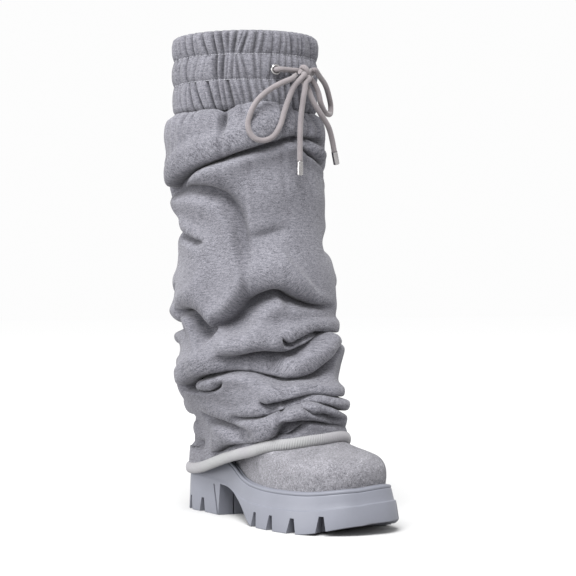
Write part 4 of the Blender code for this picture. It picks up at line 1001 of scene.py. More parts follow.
# Each fold: how far its upper side hangs over, from 0 to 1, and its course round the leg, with the
# bearing in degrees, the height as a share of the boot's, and the depth and half width as shares of
# the leg's radius
Fold = namedtuple("Fold", "overhang course")
At = namedtuple("At", "bearing height depth width")
FOLDS = (
    # Outer side and front, from the top down
    Fold(1.0, (At(118, 0.680, 0.00, 0.10), At(104, 0.694, 0.12, 0.10), At(90, 0.712, 0.19, 0.11),
               At(70, 0.731, 0.20, 0.12), At(48, 0.748, 0.19, 0.12), At(23, 0.770, 0.17, 0.12),
               At(5, 0.783, 0.14, 0.11), At(-8, 0.788, 0.10, 0.10), At(-34, 0.783, 0.05, 0.09),
               At(-55, 0.770, 0.00, 0.08))),
    Fold(0.9, (At(-10, 0.768, 0.00, 0.06), At(-17, 0.763, 0.08, 0.07), At(-26, 0.754, 0.11, 0.07),
               At(-38, 0.742, 0.10, 0.07), At(-55, 0.730, 0.00, 0.07))),
    Fold(0.6, (At(112, 0.676, 0.00, 0.10), At(98, 0.681, 0.10, 0.12), At(68, 0.686, 0.13, 0.14),
               At(53, 0.680, 0.15, 0.16), At(41, 0.662, 0.14, 0.17), At(34, 0.635, 0.12, 0.18),
               At(29, 0.600, 0.09, 0.18), At(26, 0.570, 0.05, 0.16), At(22, 0.555, 0.00, 0.14))),
    Fold(0.3, (At(28, 0.575, 0.00, 0.10), At(18, 0.578, 0.03, 0.11), At(6, 0.588, 0.02, 0.10),
               At(-4, 0.595, 0.00, 0.10))),
    Fold(0.8, (At(100, 0.595, 0.00, 0.09), At(88, 0.590, 0.09, 0.09), At(78, 0.582, 0.09, 0.08),
               At(68, 0.571, 0.05, 0.08), At(58, 0.565, 0.00, 0.07))),
    Fold(0.9, (At(30, 0.452, 0.00, 0.12), At(23, 0.468, 0.12, 0.16), At(16, 0.478, 0.19, 0.18),
               At(9, 0.482, 0.23, 0.19), At(2, 0.470, 0.21, 0.15), At(-6, 0.456, 0.16, 0.11),
               At(-12, 0.446, 0.10, 0.08), At(-22, 0.438, 0.03, 0.08), At(-34, 0.434, 0.00, 0.08))),
    Fold(0.5, (At(10, 0.470, 0.00, 0.16), At(18, 0.462, 0.10, 0.18), At(25, 0.446, 0.18, 0.20),
               At(31, 0.428, 0.22, 0.19), At(38, 0.411, 0.17, 0.15), At(45, 0.402, 0.08, 0.12),
               At(52, 0.398, 0.00, 0.10))),
    Fold(0.7, (At(96, 0.424, 0.00, 0.10), At(82, 0.433, 0.13, 0.10), At(71, 0.437, 0.18, 0.13),
               At(65, 0.431, 0.21, 0.15), At(60, 0.418, 0.22, 0.16), At(55, 0.402, 0.19, 0.16),
               At(51, 0.392, 0.11, 0.13), At(46, 0.388, 0.00, 0.10))),
    Fold(0.5, (At(152, 0.392, 0.00, 0.10), At(130, 0.397, 0.12, 0.11), At(112, 0.401, 0.14, 0.11),
               At(95, 0.402, 0.11, 0.11), At(84, 0.400, 0.07, 0.10), At(74, 0.394, 0.00, 0.10))),
    Fold(1.0, (At(10.5, 0.376, 0.00, 0.035), At(8, 0.379, 0.13, 0.045), At(3, 0.384, 0.13, 0.045),
               At(-8, 0.394, 0.10, 0.05), At(-21, 0.392, 0.11, 0.06), At(-40, 0.388, 0.10, 0.07),
               At(-70, 0.392, 0.06, 0.08), At(-90, 0.398, 0.00, 0.08))),
    Fold(0.7, (At(46, 0.330, 0.00, 0.12), At(35, 0.338, 0.12, 0.14), At(19, 0.352, 0.19, 0.15),
               At(8, 0.353, 0.20, 0.14), At(-1, 0.364, 0.16, 0.11), At(-12, 0.380, 0.09, 0.08),
               At(-20, 0.385, 0.00, 0.07))),
    Fold(1.0, (At(90, 0.270, 0.00, 0.10), At(79, 0.281, 0.12, 0.10), At(62, 0.300, 0.15, 0.11),
               At(44, 0.311, 0.13, 0.10), At(32, 0.315, 0.12, 0.10), At(22, 0.317, 0.18, 0.13),
               At(15, 0.314, 0.23, 0.16), At(10, 0.308, 0.21, 0.14), At(4, 0.305, 0.15, 0.10),
               At(-3, 0.313, 0.18, 0.12), At(-13, 0.335, 0.16, 0.12), At(-24, 0.360, 0.09, 0.09),
               At(-50, 0.372, 0.05, 0.09), At(-70, 0.378, 0.00, 0.09))),
    Fold(0.7, (At(86, 0.274, 0.00, 0.06), At(77, 0.272, 0.10, 0.05), At(60, 0.2705, 0.13, 0.055),
               At(46, 0.275, 0.11, 0.055), At(39, 0.284, 0.00, 0.05))),
    Fold(0.9, (At(22, 0.243, 0.00, 0.07), At(19, 0.246, 0.09, 0.08), At(15, 0.254, 0.13, 0.08),
               At(9, 0.262, 0.12, 0.07), At(1, 0.267, 0.09, 0.06), At(-8, 0.262, 0.09, 0.06),
               At(-22, 0.258, 0.09, 0.06), At(-60, 0.256, 0.04, 0.08), At(-90, 0.262, 0.00, 0.08))),
    Fold(0.9, (At(36, 0.214, 0.00, 0.06), At(28, 0.217, 0.07, 0.06), At(20, 0.224, 0.09, 0.06),
               At(9, 0.246, 0.09, 0.06), At(2, 0.252, 0.08, 0.05), At(-3, 0.247, 0.09, 0.05),
               At(-13, 0.235, 0.10, 0.06), At(-40, 0.226, 0.06, 0.08), At(-70, 0.224, 0.00, 0.08))),
    Fold(0.9, (At(7, 0.237, 0.00, 0.04), At(5, 0.2365, 0.09, 0.04), At(-1, 0.230, 0.08, 0.045),
               At(-7, 0.219, 0.06, 0.05), At(-14, 0.210, 0.00, 0.05))),
    Fold(0.9, (At(18, 0.197, 0.00, 0.05), At(16, 0.201, 0.08, 0.06), At(13, 0.2145, 0.10, 0.06),
               At(9, 0.219, 0.09, 0.06), At(2, 0.216, 0.09, 0.06), At(-5, 0.207, 0.08, 0.06),
               At(-14, 0.196, 0.03, 0.06), At(-22, 0.190, 0.00, 0.06))),
    Fold(0.8, (At(78, 0.213, 0.00, 0.08), At(66, 0.213, 0.07, 0.09), At(54, 0.212, 0.11, 0.09),
               At(41, 0.206, 0.10, 0.08), At(28, 0.196, 0.06, 0.07), At(22, 0.194, 0.00, 0.06))),
    Fold(1.0, (At(70, 0.122, 0.00, 0.10), At(56, 0.140, 0.12, 0.12), At(42, 0.160, 0.15, 0.13),
               At(30, 0.170, 0.17, 0.13), At(19, 0.180, 0.18, 0.13), At(12, 0.193, 0.14, 0.11),
               At(7, 0.204, 0.06, 0.08), At(4, 0.210, 0.00, 0.07))),
    # Back and inner side
    Fold(0.9, (At(-50, 0.730, 0.00, 0.10), At(-75, 0.722, 0.11, 0.11), At(-110, 0.704, 0.15, 0.12),
               At(-145, 0.684, 0.12, 0.12), At(-172, 0.668, 0.00, 0.11))),
    Fold(0.8, (At(205, 0.742, 0.00, 0.10), At(180, 0.735, 0.10, 0.11), At(150, 0.722, 0.13, 0.12),
               At(125, 0.716, 0.08, 0.11), At(108, 0.712, 0.00, 0.10))),
    Fold(0.7, (At(-85, 0.612, 0.00, 0.13), At(-120, 0.592, 0.12, 0.14), At(-155, 0.566, 0.15, 0.15),
               At(-190, 0.548, 0.11, 0.14), At(-215, 0.540, 0.00, 0.13))),
    Fold(0.4, (At(150, 0.640, 0.00, 0.14), At(128, 0.628, 0.09, 0.15), At(104, 0.610, 0.09, 0.14),
               At(88, 0.600, 0.00, 0.12))),
    Fold(0.4, (At(-30, 0.560, 0.00, 0.14), At(-55, 0.572, 0.08, 0.15), At(-80, 0.566, 0.08, 0.15),
               At(-100, 0.555, 0.00, 0.13))),
    Fold(0.9, (At(215, 0.462, 0.00, 0.12), At(185, 0.448, 0.13, 0.13), At(150, 0.444, 0.17, 0.14),
               At(120, 0.464, 0.12, 0.13), At(98, 0.478, 0.00, 0.12))),
    Fold(0.9, (At(-40, 0.474, 0.00, 0.12), At(-70, 0.462, 0.12, 0.13), At(-105, 0.440, 0.16, 0.13),
               At(-140, 0.424, 0.12, 0.13), At(-168, 0.416, 0.00, 0.12))),
    Fold(1.0, (At(232, 0.338, 0.00, 0.11), At(200, 0.322, 0.14, 0.12), At(165, 0.308, 0.19, 0.13),
               At(130, 0.300, 0.15, 0.12), At(104, 0.288, 0.00, 0.10))),
    Fold(1.0, (At(-62, 0.332, 0.00, 0.10), At(-90, 0.312, 0.13, 0.11), At(-125, 0.292, 0.17, 0.12),
               At(-158, 0.290, 0.12, 0.12), At(-180, 0.296, 0.00, 0.11))),
    Fold(0.8, (At(200, 0.384, 0.00, 0.10), At(175, 0.374, 0.09, 0.10), At(145, 0.362, 0.12, 0.11),
               At(118, 0.356, 0.08, 0.10), At(98, 0.350, 0.00, 0.09))),
    Fold(0.8, (At(238, 0.240, 0.00, 0.10), At(205, 0.226, 0.11, 0.11), At(170, 0.214, 0.14, 0.11),
               At(135, 0.208, 0.11, 0.10), At(108, 0.200, 0.00, 0.09))),
    Fold(0.8, (At(-50, 0.214, 0.00, 0.09), At(-75, 0.204, 0.10, 0.10), At(-105, 0.196, 0.13, 0.11),
               At(-135, 0.186, 0.10, 0.10), At(-158, 0.182, 0.00, 0.09))),
    Fold(0.6, (At(160, 0.158, 0.00, 0.09), At(140, 0.150, 0.06, 0.10), At(112, 0.148, 0.07, 0.10),
               At(88, 0.152, 0.00, 0.09))),
)

# How far the sleeve puffs up over the seam, in metres, round the leg
Puff = namedtuple("Puff", "bearing rise")
PUFFS = (
    Puff(-180, 0.0020),
    Puff(-150, 0.0045),
    Puff(-120, 0.0010),
    Puff(-90, 0.0050),
    Puff(-62, 0.0015),
    Puff(-45, 0.0045),
    Puff(-30, 0.0000),
    Puff(-18, 0.0020),
    Puff(-6, 0.0110),
    Puff(10, 0.0150),
    Puff(24, 0.0140),
    Puff(36, 0.0085),
    Puff(43, -0.0040),
    Puff(50, 0.0045),
    Puff(62, 0.0060),
    Puff(75, 0.0010),
    Puff(84, 0.0030),
    Puff(100, 0.0040),
    Puff(135, 0.0010),
    Puff(160, 0.0045),
    Puff(180, 0.0020),
)

# The gathers under the seam: bearing, depth and half width as shares of the leg's radius, and how far
# each runs down as a share of the boot's height
Gather = namedtuple("Gather", "bearing depth width reach")
GATHERS = (
    Gather(92, 0.05, 0.030, 0.05), Gather(80, 0.07, 0.025, 0.05), Gather(70, 0.06, 0.022, 0.035),
    Gather(58, 0.03, 0.030, 0.03), Gather(43, 0.12, 0.035, 0.055), Gather(29, 0.03, 0.040, 0.04),
    Gather(2, 0.05, 0.030, 0.06), Gather(-9, 0.08, 0.030, 0.05), Gather(-20, 0.09, 0.030, 0.05),
    Gather(-31, 0.10, 0.030, 0.045), Gather(-46, 0.05, 0.030, 0.04), Gather(-62, 0.09, 0.032, 0.05),
    Gather(-75, 0.05, 0.030, 0.04), Gather(-92, 0.10, 0.034, 0.05), Gather(-106, 0.05, 0.028, 0.04),
    Gather(-121, 0.08, 0.030, 0.05), Gather(-136, 0.05, 0.028, 0.04), Gather(-151, 0.10, 0.034, 0.055),
    Gather(-166, 0.05, 0.030, 0.04), Gather(177, 0.08, 0.030, 0.05), Gather(161, 0.05, 0.028, 0.04),
    Gather(147, 0.09, 0.032, 0.05), Gather(133, 0.05, 0.028, 0.04), Gather(118, 0.09, 0.032, 0.05),
    Gather(105, 0.05, 0.028, 0.04),
)


def bump(shape, off):
    """A soft rise of the shape's size round its middle."""
    return shape.size * np.exp(-(((off - shape.middle) / shape.spread) ** 2))


def turned(bearing, middle):
    """The bearing counted from the middle, to half a turn either way."""
    return (bearing - middle + 180) % 360 - 180


def fold_relief(bearing, height):
    """How far the folds push the cloth out and down at each place, and how deep in a crease it lies for
    painted shade.
    """
    out = np.zeros_like(bearing)
    down = np.zeros_like(bearing)
    crease = np.zeros_like(bearing)
    for fold in FOLDS:
        course = sorted(fold.course)
        low, high = course[0].bearing, course[-1].bearing
        middle = (low + high) / 2
        b = turned(bearing, middle) + middle
        inside = (b >= low) & (b <= high)
        if not inside.any():
            continue
        spot = np.clip(b[inside], low, high)
        line = BOOT_HEIGHT * read(course, "height", "bearing", spot)
        ahead = BOOT_HEIGHT * read(course, "height", "bearing", spot + 1.0)
        depth = FOLD_DEPTH * np.maximum(read(course, "depth", "bearing", spot), 0.0)
        width = LEG_RADIUS * np.maximum(read(course, "width", "bearing", spot), LEAST_FOLD_WIDTH)
        slope = (ahead - line) / (LEG_RADIUS * math.pi / 180)
        off = (height[inside] - line) / np.sqrt(1 + slope**2) / width
        upper_side = 1 - UPPER_SIDE_NARROWING * fold.overhang
        above = np.exp(-((off / upper_side) ** 2))
        below = np.exp(-(np.abs(off) ** POCKET_FLATNESS))
        trough = np.where(off > 0, above, below)
        lobe = fold.overhang * bump(LOBE, off)
        crevice = fold.overhang * bump(CREVICE, off)
        out[inside] += depth * (lobe + bump(LIP, off) - trough - crevice)
        # The depth of the band of painted shade along the fold's crease
        crease[inside] += depth * bump(PAINTED_SHADE_BAND, off)
        down[inside] += depth * fold.overhang * bump(SAG, off)
    limit = RELIEF_LIMIT * LEG_RADIUS
    return limit * np.tanh(out / limit), down, crease


def slump(bearing, height):
    """Broad soft swells in the cloth between its folds."""
    dice = np.random.default_rng(SWELL_SEED)
    swell = np.zeros_like(bearing)
    for _ in range(SWELL_COUNT):
        around = dice.integers(*SWELLS_AROUND)
        up = dice.uniform(*SWELLS_UP)
        size = dice.uniform(0.3, 1.0)
        first = dice.uniform(0, 6.3)
        swell += size * np.sin(np.radians(bearing) * around + height * up + first)
    return SWELL_DEPTH * swell


def gathering(bearing, height):
    """How far the gathers push the cloth out at each place, when they are not held by the seam."""
    gathered = np.zeros_like(bearing)
    below = np.clip((SEAM_HEIGHT - height) / BOOT_HEIGHT, 0, 1)
    for g in GATHERS:
        off = turned(bearing, g.bearing) * math.pi / 180 / g.width
        fade = np.exp(-below / g.reach * GATHER_FADE)
        across = bump(GATHER_RIDGES, np.abs(off)) - np.exp(-(off**2))
        gathered += GATHER_SIZE * g.depth * LEG_RADIUS * fade * across
    return gathered


def plain_sleeve(start, turn, shares):
    """Rings of the sleeve before it folds, from the hem's outline up to the waistband's seam."""
    rings = []
    for share in shares:
        across = LEG_RADIUS * read(SHAFT_SECTIONS, "width", "share", share)
        across = across * (1 - read(SHAFT_SECTIONS, "taper", "share", share) * np.cos(turn))
        along = LEG_RADIUS * read(SHAFT_SECTIONS, "length", "share", share)
        centre = LEG_Y - LEG_RADIUS * read(SHAFT_SECTIONS, "shift", "share", share)
        height = start[:, 2] + (SEAM_HEIGHT - GAP - start[:, 2]) * share
        ring = level(np.stack([-across * np.sin(turn), centre + along * np.cos(turn)], axis=1), height)
        ring[:, :2] += (start[:, :2] - ring[:, :2]) * (1 - soft_step(share / HEM_BLEND))
        rings.append(ring)
    return np.array(rings)


def shaft_rings(start, surface):
    """Rings of the shaft's outside, and how deep in a crease or gather each of their points lies for painted
    shade.
    """
    turn = 2 * np.pi * np.arange(SHAFT_POINTS) / SHAFT_POINTS
    out = np.stack([-np.sin(turn), np.cos(turn), np.zeros_like(turn)], axis=1)
    shares = np.linspace(0, 1, SHAFT_ROWS)
    base = plain_sleeve(start, turn, shares)
    bearing = np.degrees(np.arctan2(-base[:, :, 0], LEG_Y - base[:, :, 1]))
    height = base[:, :, 2]
    push, droop, crease = fold_relief(bearing, height)
    hold = (soft_step(shares / END_HOLD) * soft_step((1 - shares) / END_HOLD))[:, None]
    push = push + slump(bearing, height)
    rings = base + out[None] * (push * hold)[:, :, None]
    rings[:, :, 2] -= droop * hold
    gathered = gathering(bearing, height)
    near_top = soft_step((1 - shares) / TOP_HOLD)[:, None]
    rings += out[None] * (gathered * near_top)[:, :, None]
    drawn_in = np.clip(-gathered, 0, 1)
    rise = read(PUFFS, "rise", "bearing", bearing)
    rings[:, :, 2] += bump(PUFF_CREST, 1 - shares)[:, None] * (rise - GATHER_DRAW * drawn_in)
    free = keep_clear(rings[1:-1].reshape(-1, 3), surface, SHAFT_CLEARANCE, SHAFT_CLEARANCE)
    rings[1:-1] = free.reshape(SHAFT_ROWS - 2, SHAFT_POINTS, 3)
    return rings, crease * hold + drawn_in


def mark_painted_shade(made, depths, full):
    """Marks how deep each point lies in a crease or fold, from 0 to 1 at the full depth, for painted shade.
    """
    layer = made.data.attributes.new("painted_shade_depth", "FLOAT", "POINT")
    shares = np.zeros(len(made.data.vertices))
    shares[:depths.size] = np.clip(depths.reshape(-1) / full, 0.0, 1.0)
    layer.data.foreach_set("value", shares)


def cloth_map(made, rings):
    """A UV map in metres, with u round the piece and v along the cloth, for a mesh made of the rings."""
    rows, points = rings.shape[:2]
    around = np.linalg.norm(np.roll(rings, -1, axis=1) - rings, axis=2).sum(axis=1).mean()
    steps = np.linalg.norm(np.diff(rings, axis=0), axis=2).mean(axis=1)
    along = np.concatenate([[0.0], np.cumsum(steps)])
    layer = made.data.uv_layers.new(name="cloth")
    indices = np.empty(len(made.data.loops), int)
    made.data.loops.foreach_get("vertex_index", indices)
    row, column = indices // points % rows, indices % points
    share = column / points
    wrapped = share.reshape(-1, 4)
    wrapped[(wrapped.max(axis=1) - wrapped.min(axis=1)) > 0.5] %= 1.0
    late = (wrapped.max(axis=1) - wrapped.min(axis=1)) > 0.5
    wrapped[late] = np.where(wrapped[late] < 0.5, wrapped[late] + 1.0, wrapped[late])
    coordinates = np.stack([wrapped.reshape(-1) * around, along[row]], axis=1)
    layer.data.foreach_set("uv", coordinates.reshape(-1))


def sweat_cloth(name):
    """Grey melange sweat cloth: dark and light fibres drawn out along each knitted course, and painted shade
    in its creases.
    """
    cloth = Finish(name, {"Sheen Weight": 0.1, "Sheen Roughness": 0.5, "Specular IOR Level": 0.15})
    spot = cloth.cloth_place()
    streaks = cloth.noise(cloth.scaled(spot, (500.0, 1200.0, 1.0)), 1.0, 3.0, 0.65, 0.8)
    long_streaks = cloth.noise(cloth.scaled(spot, (150.0, 520.0, 1.0)), 1.0, 2.0, 0.5)
    flecks = cloth.noise(cloth.scaled(spot, (1300.0, 1900.0, 1.0)), 1.0, 2.0, 0.6)
    clouds = cloth.noise(cloth.place(), 22.0, 2.0)
    tone = cloth.span(0.45 * streaks + 0.2 * long_streaks + 0.35 * flecks, 0.39, 0.61)
    tone = tone + cloth.span(clouds, 0.3, 0.7, -0.08, 0.08)
    fibres = cloth.mixed(tone, (0.047, 0.0465, 0.056), (0.220, 0.218, 0.245))
    # Painted shade: the colour goes towards near black the deeper a point lies in a crease, fold or gather
    painted_crease_shade = cloth.node("ShaderNodeAttribute", {"attribute_name": "painted_shade_depth"}, {}, "Fac")
    cloth.feed("Base Color", cloth.mixed(painted_crease_shade * CREASE_SHADE_PAINT, fibres, (0.030, 0.030, 0.036)))
    cloth.feed("Roughness", cloth.span(flecks, 0.3, 0.7, 0.88, 1.0))
    across = cloth.node("ShaderNodeSeparateXYZ", {}, {"Vector": spot})
    wales = (across * (2 * math.pi / WALE_WIDTH)).sine()
    courses = (across.other(1) * (2 * math.pi / COURSE_HEIGHT)).sine()
    loops = wales * courses * 0.5 + 0.5
    cloth.raised(((loops, 0.00007), (streaks, 0.00011), (flecks, 0.00006)))
    return cloth


fleece = sweat_cloth("melange_sweat_cloth")
turn = 2 * np.pi * np.arange(SHAFT_POINTS) / SHAFT_POINTS
hem_turn = 2 * np.pi * np.arange(HEM_POINTS + 1) / HEM_POINTS
looped = np.append(path, path[:1], axis=0)
start = np.stack([np.interp(turn, hem_turn, looped[:, a]) for a in range(3)], axis=1)
start[:, 2] += HEM_HALF_HEIGHT * SEWN_HEIGHT
sleeve, sleeve_shade_depths = shaft_rings(start, foot)
shaft = piece(
    "slouch_shaft", sleeve.reshape(-1, 3), ring_faces(SHAFT_ROWS, SHAFT_POINTS), fleece, 180.0, False
)
cloth_map(shaft, sleeve)
# How deep each point lies in a fold's crease or a gather, kept on the mesh for the painted shade
mark_painted_shade(shaft, sleeve_shade_depths, FOLD_DEPTH_FOR_FULL_SHADE)
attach(shaft, "root")
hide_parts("shaft")

# The waistband
# Two layers of the sweat cloth with elastic in three channels, drawn up into about fifty gathers. Each
# channel swells between the rows of zigzag stitching that close it.
BAND_POINTS = 840
BAND_ROWS_COUNT = 94
BAND_LINING_ROWS = 8
# The lining's lower edge and its height, as shares of the waistband's height
LINING_FOOT = 0.01
LINING_RUN = 0.975
CHANNEL_BULGE = 0.0022
STITCH_SHARES = (0.38, 0.70)
CHANNEL_LIMITS = (0.0, *STITCH_SHARES, 1.0)
# The fine puckers along the stitches: their depth, how many round the leg, and how far they reach
PUCKER_DEPTH = 0.00035
PUCKER_COUNT = 168
PUCKER_REACH = 0.03
Band = namedtuple("Band", "share bulge")
BAND_PROFILE = (
    Band(0.00, -1.20),
    Band(0.05, 0.10),
    Band(0.12, 0.55),
    Band(0.24, 0.60),
    Band(0.33, 0.20),
    Band(0.365, -0.15),
    Band(0.38, -0.40),
    Band(0.395, -0.10),
    Band(0.44, 0.50),
    Band(0.54, 0.85),
    Band(0.64, 0.45),
    Band(0.685, -0.10),
    Band(0.70, -0.35),
    Band(0.715, -0.05),
    Band(0.76, 0.55),
    Band(0.85, 0.95),
    Band(0.93, 0.80),
    Band(0.98, 0.05),
    Band(1.00, -0.90),
)

# The deep creases of the outer side and the front: bearings at the seam, at both rows of stitches and
# at the top, and how deep each is in the three channels
BandCrease = namedtuple("BandCrease", "foot low high top deep_foot deep_middle deep_top")
BAND_CREASES = (
    BandCrease(97, 100, 99, 98, 0.6, 0.7, 0.6),
    BandCrease(91, 95, 92, 92, 0.6, 0.4, 0.5),
    BandCrease(84, 84, 83, 86, 0.5, 0.9, 0.9),
    BandCrease(75, 81, 75, 77, 0.8, 0.2, 1.0),
    BandCrease(65, 75, 69, 72, 0.9, 0.3, 0.3),
    BandCrease(59, 66, 61, 67, 0.3, 0.2, 0.8),
    BandCrease(54, 62, 57, 60, 1.0, 0.1, 0.2),
    BandCrease(48, 53, 53, 57, 0.7, 1.0, 1.0),
    BandCrease(44, 48, 47, 50, 0.6, 1.0, 1.0),
    BandCrease(38, 44, 43, 43, 1.0, 0.4, 0.7),
    BandCrease(32, 40, 39, 36, 0.4, 0.5, 0.9),
    BandCrease(29, 34, 37, 30, 0.5, 0.6, 0.3),
    BandCrease(23, 28, 33, 27, 0.6, 0.5, 0.7),
    BandCrease(17, 21, 23, 20, 0.4, 0.5, 0.7),
    BandCrease(11, 17, 17, 14, 0.5, 0.3, 0.5),
    BandCrease(5, 10, 8, 7, 0.5, 0.4, 0.4),
    BandCrease(0, 3, 1, 0, 0.6, 0.3, 0.4),
    BandCrease(-6, -3, -5, -4, 0.6, 0.3, 0.3),
    BandCrease(-13, -10, -11, -8, 0.8, 0.4, 0.8),
    BandCrease(-20, -17, -18, -15, 0.7, 0.3, 0.4),
    BandCrease(-27, -24, -22, -20, 0.8, 0.4, 0.6),
    BandCrease(-35, -31, -37, -29, 0.7, 0.4, 0.6),
    BandCrease(-43, -40, -42, -38, 0.7, 0.5, 0.7),
    BandCrease(-51, -48, -48, -47, 0.6, 0.6, 0.5),
)
CREASE_SEED = 11
BACK_CREASES = (104.0, 303.0)
BACK_CREASE_COUNT = 29
CREASE_DEPTH = 0.0060
CREASE_HALF_WIDTH = 0.0013
# The width of the faintest crease, and what the deepest adds to it, as shares of the half width
CREASE_WIDTHS = (0.75, 0.5)
# How much of a crease is left at the stitches, and how fast it comes back from them
CREASE_LEFT = 0.45
CREASE_RETURN = 0.6
CREASE_SHARPNESS = 1.2
CREASE_RIDGES = Bump(0.14, 2.6, 1.3)
# The share of the crease depth at which the painted shade in the band's creases is full
CREASE_SHARE_FOR_FULL_SHADE = 0.8


def crease_lines():
    """The listed creases, and the others in their turn round the back and the inner side."""
    lines = list(BAND_CREASES)
    dice = np.random.default_rng(CREASE_SEED)
    low, high = BACK_CREASES
    for k in range(BACK_CREASE_COUNT):
        middle = low + (high - low) * (k + 0.5 + dice.uniform(-0.3, 0.3)) / BACK_CREASE_COUNT
        lean = dice.uniform(-1.0, 5.5)
        at = [middle + lean * (0.5 - rise) + dice.uniform(-0.9, 0.9) for rise in CHANNEL_LIMITS]
        deep = [dice.uniform(0.15, 1.0) for _ in range(3)]
        lines.append(BandCrease(*at, *deep))
    return lines


def band_creases(bearing, share):
    """The depth of the upright creases between the gathers, in metres."""
    depth = np.zeros_like(bearing)
    channel = np.digitize(share, STITCH_SHARES)
    for line in crease_lines():
        nodes = (line.foot, line.low, line.high, line.top)
        for c, deep in enumerate((line.deep_foot, line.deep_middle, line.deep_top)):
            low, high = CHANNEL_LIMITS[c:c + 2]
            rise = (share - low) / (high - low)
            at = nodes[c] + (nodes[c + 1] - nodes[c]) * rise
            half = CREASE_HALF_WIDTH * (CREASE_WIDTHS[0] + CREASE_WIDTHS[1] * deep)
            off = np.abs(turned(bearing, at) * math.pi / 180 * LEG_RADIUS / half)
            run = np.sin(np.pi * np.clip(rise, 0, 1)) ** CREASE_RETURN
            groove = np.exp(-(off**CREASE_SHARPNESS)) * (CREASE_LEFT + (1 - CREASE_LEFT) * run)
            across = groove - bump(CREASE_RIDGES, off)
            depth += np.where(channel == c, CREASE_DEPTH * deep * across, 0.0)
    return depth


def band_surface(bearing, share):
    """Points of the waistband's outside at bearings in degrees and shares of its height."""
    bulge = CHANNEL_BULGE * read(BAND_PROFILE, "bulge", "share", share)
    turn = np.radians(180.0 - bearing)
    puckers = PUCKER_DEPTH * np.sin(np.radians(bearing) * PUCKER_COUNT)
    near_stitch = sum(np.exp(-(((share - s) / PUCKER_REACH) ** 2)) for s in STITCH_SHARES)
    reach = bulge - band_creases(bearing, share) + puckers * near_stitch
    x = -(WAIST_HALF_WIDTH + reach) * np.sin(turn)
    y = LEG_Y + (WAIST_HALF_LENGTH + reach) * np.cos(turn)
    return np.stack([x, y, SEAM_HEIGHT + WAISTBAND_HEIGHT * share], axis=-1)


bearings = 180.0 - 360.0 * np.arange(BAND_POINTS) / BAND_POINTS
band_shares = np.linspace(0, 1, BAND_ROWS_COUNT)
grid_bearing, grid_share = np.meshgrid(bearings, band_shares)
band_rings = list(band_surface(grid_bearing, grid_share))
for share in np.linspace(1, 0, BAND_LINING_ROWS):
    ring = oval(
        WAIST_HALF_WIDTH - WAISTBAND_WALL,
        WAIST_HALF_LENGTH - WAISTBAND_WALL,
        SEAM_HEIGHT + WAISTBAND_HEIGHT * (LINING_FOOT + LINING_RUN * share),
        count=BAND_POINTS,
    )
    band_rings.append(ring)
band_rings = np.array(band_rings)
band_cloth = sweat_cloth("melange_band_cloth")
band = piece(
    "gathered_waistband",
    band_rings.reshape(-1, 3),
    ring_faces(len(band_rings), BAND_POINTS, closed=True),
    band_cloth,
    180.0,
)
cloth_map(band, band_rings)
# How deep each point lies in a crease, kept on the mesh for the painted shade
mark_painted_shade(band, band_creases(grid_bearing, grid_share), CREASE_DEPTH * CREASE_SHARE_FOR_FULL_SHADE)
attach(band, "root")
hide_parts("waistband")

# The stitching
# Zigzag rows in grey thread through both layers and the elastic, one row at each end of the middle
# channel. Each stitch is a short bead of thread that leans the other way from the one before.
STITCH_LENGTH = 0.0026
STITCH_THREAD = 0.00035
STITCH_LEAN = 0.55
# The bead's half length as a share of the stitch
STITCH_FILL = 0.46
thread = Finish("sewing_thread", {"Roughness": 0.7, "Sheen Weight": 0.2})
twist = thread.noise(thread.place(), 3000.0, 2.0)
thread.feed("Base Color", thread.mixed(twist, (0.22, 0.22, 0.25), (0.40, 0.40, 0.43)))
thread.raised(((twist, 0.00005),))
for number, share in enumerate(STITCH_SHARES):
    ring = band_surface(bearings, np.full(BAND_POINTS, share))
    row_line, row_length = closed_line(ring, BAND_POINTS)
    stitches = Tree(
        f"stitch_row_{number}",
        {
            "stitch_length": STITCH_LENGTH,
            "thread": STITCH_THREAD,
            "lean": STITCH_LEAN,
            "count": int(row_length / STITCH_LENGTH) // 2 * 2,
        },
    )
    line = stitches.node("GeometryNodeMeshToCurve", {}, {"Mesh": stitches.start})
    spots = stitches.node(
        "GeometryNodeCurveToPoints", {"mode": "COUNT"}, {"Curve": line, "Count": stitches.size("count")}
    )
    bead = stitches.node(
        "GeometryNodeMeshUVSphere", {}, {"Segments": 6, "Rings": 5, "Radius": stitches.size("thread")}
    )
    stretch = stitches.maths("DIVIDE", stitches.size("stitch_length"), stitches.size("thread"))
    bead_scale = stitches.node(
        "ShaderNodeCombineXYZ", {}, {"X": 1.0, "Y": 1.0, "Z": stretch * STITCH_FILL}
    )
    bead = stitches.node("GeometryNodeTransform", {}, {"Geometry": bead, "Scale": bead_scale})
    odd = stitches.maths("MODULO", stitches.node("GeometryNodeInputIndex", {}, {}), 2.0)
    lean = stitches.node("ShaderNodeCombineXYZ", {}, {"X": (odd - 0.5) * stitches.size("lean")})
    aligned = stitches.node(
        "FunctionNodeAlignRotationToVector", {"axis": "Z"}, {"Vector": spots.other("Tangent")}
    )
    leaned = stitches.node(
        "FunctionNodeRotateRotation", {"rotation_space": "LOCAL"}, {"Rotation": aligned, "Rotate By": lean}
    )
    row = stitches.node(
        "GeometryNodeInstanceOnPoints", {}, {"Points": spots, "Instance": bead, "Rotation": leaned}
    )
    made = stitches.run(line_object(f"zigzag_stitches_{number}", row_line), row, thread)
    made.data.shade_smooth()
    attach(made, "root")

# The eyelets
# Two pressed rings of bright nickel in the middle channel, through which the drawcord comes out.
EYELET_RADIUS = 0.0050
EYELET_HOLE_RADIUS = 0.0030
EYELET_THICKNESS = 0.0014
EYELET_BEARINGS = (6.0, -30.5)
EYELET_HEIGHT = BOOT_HEIGHT - WAISTBAND_HEIGHT / 2
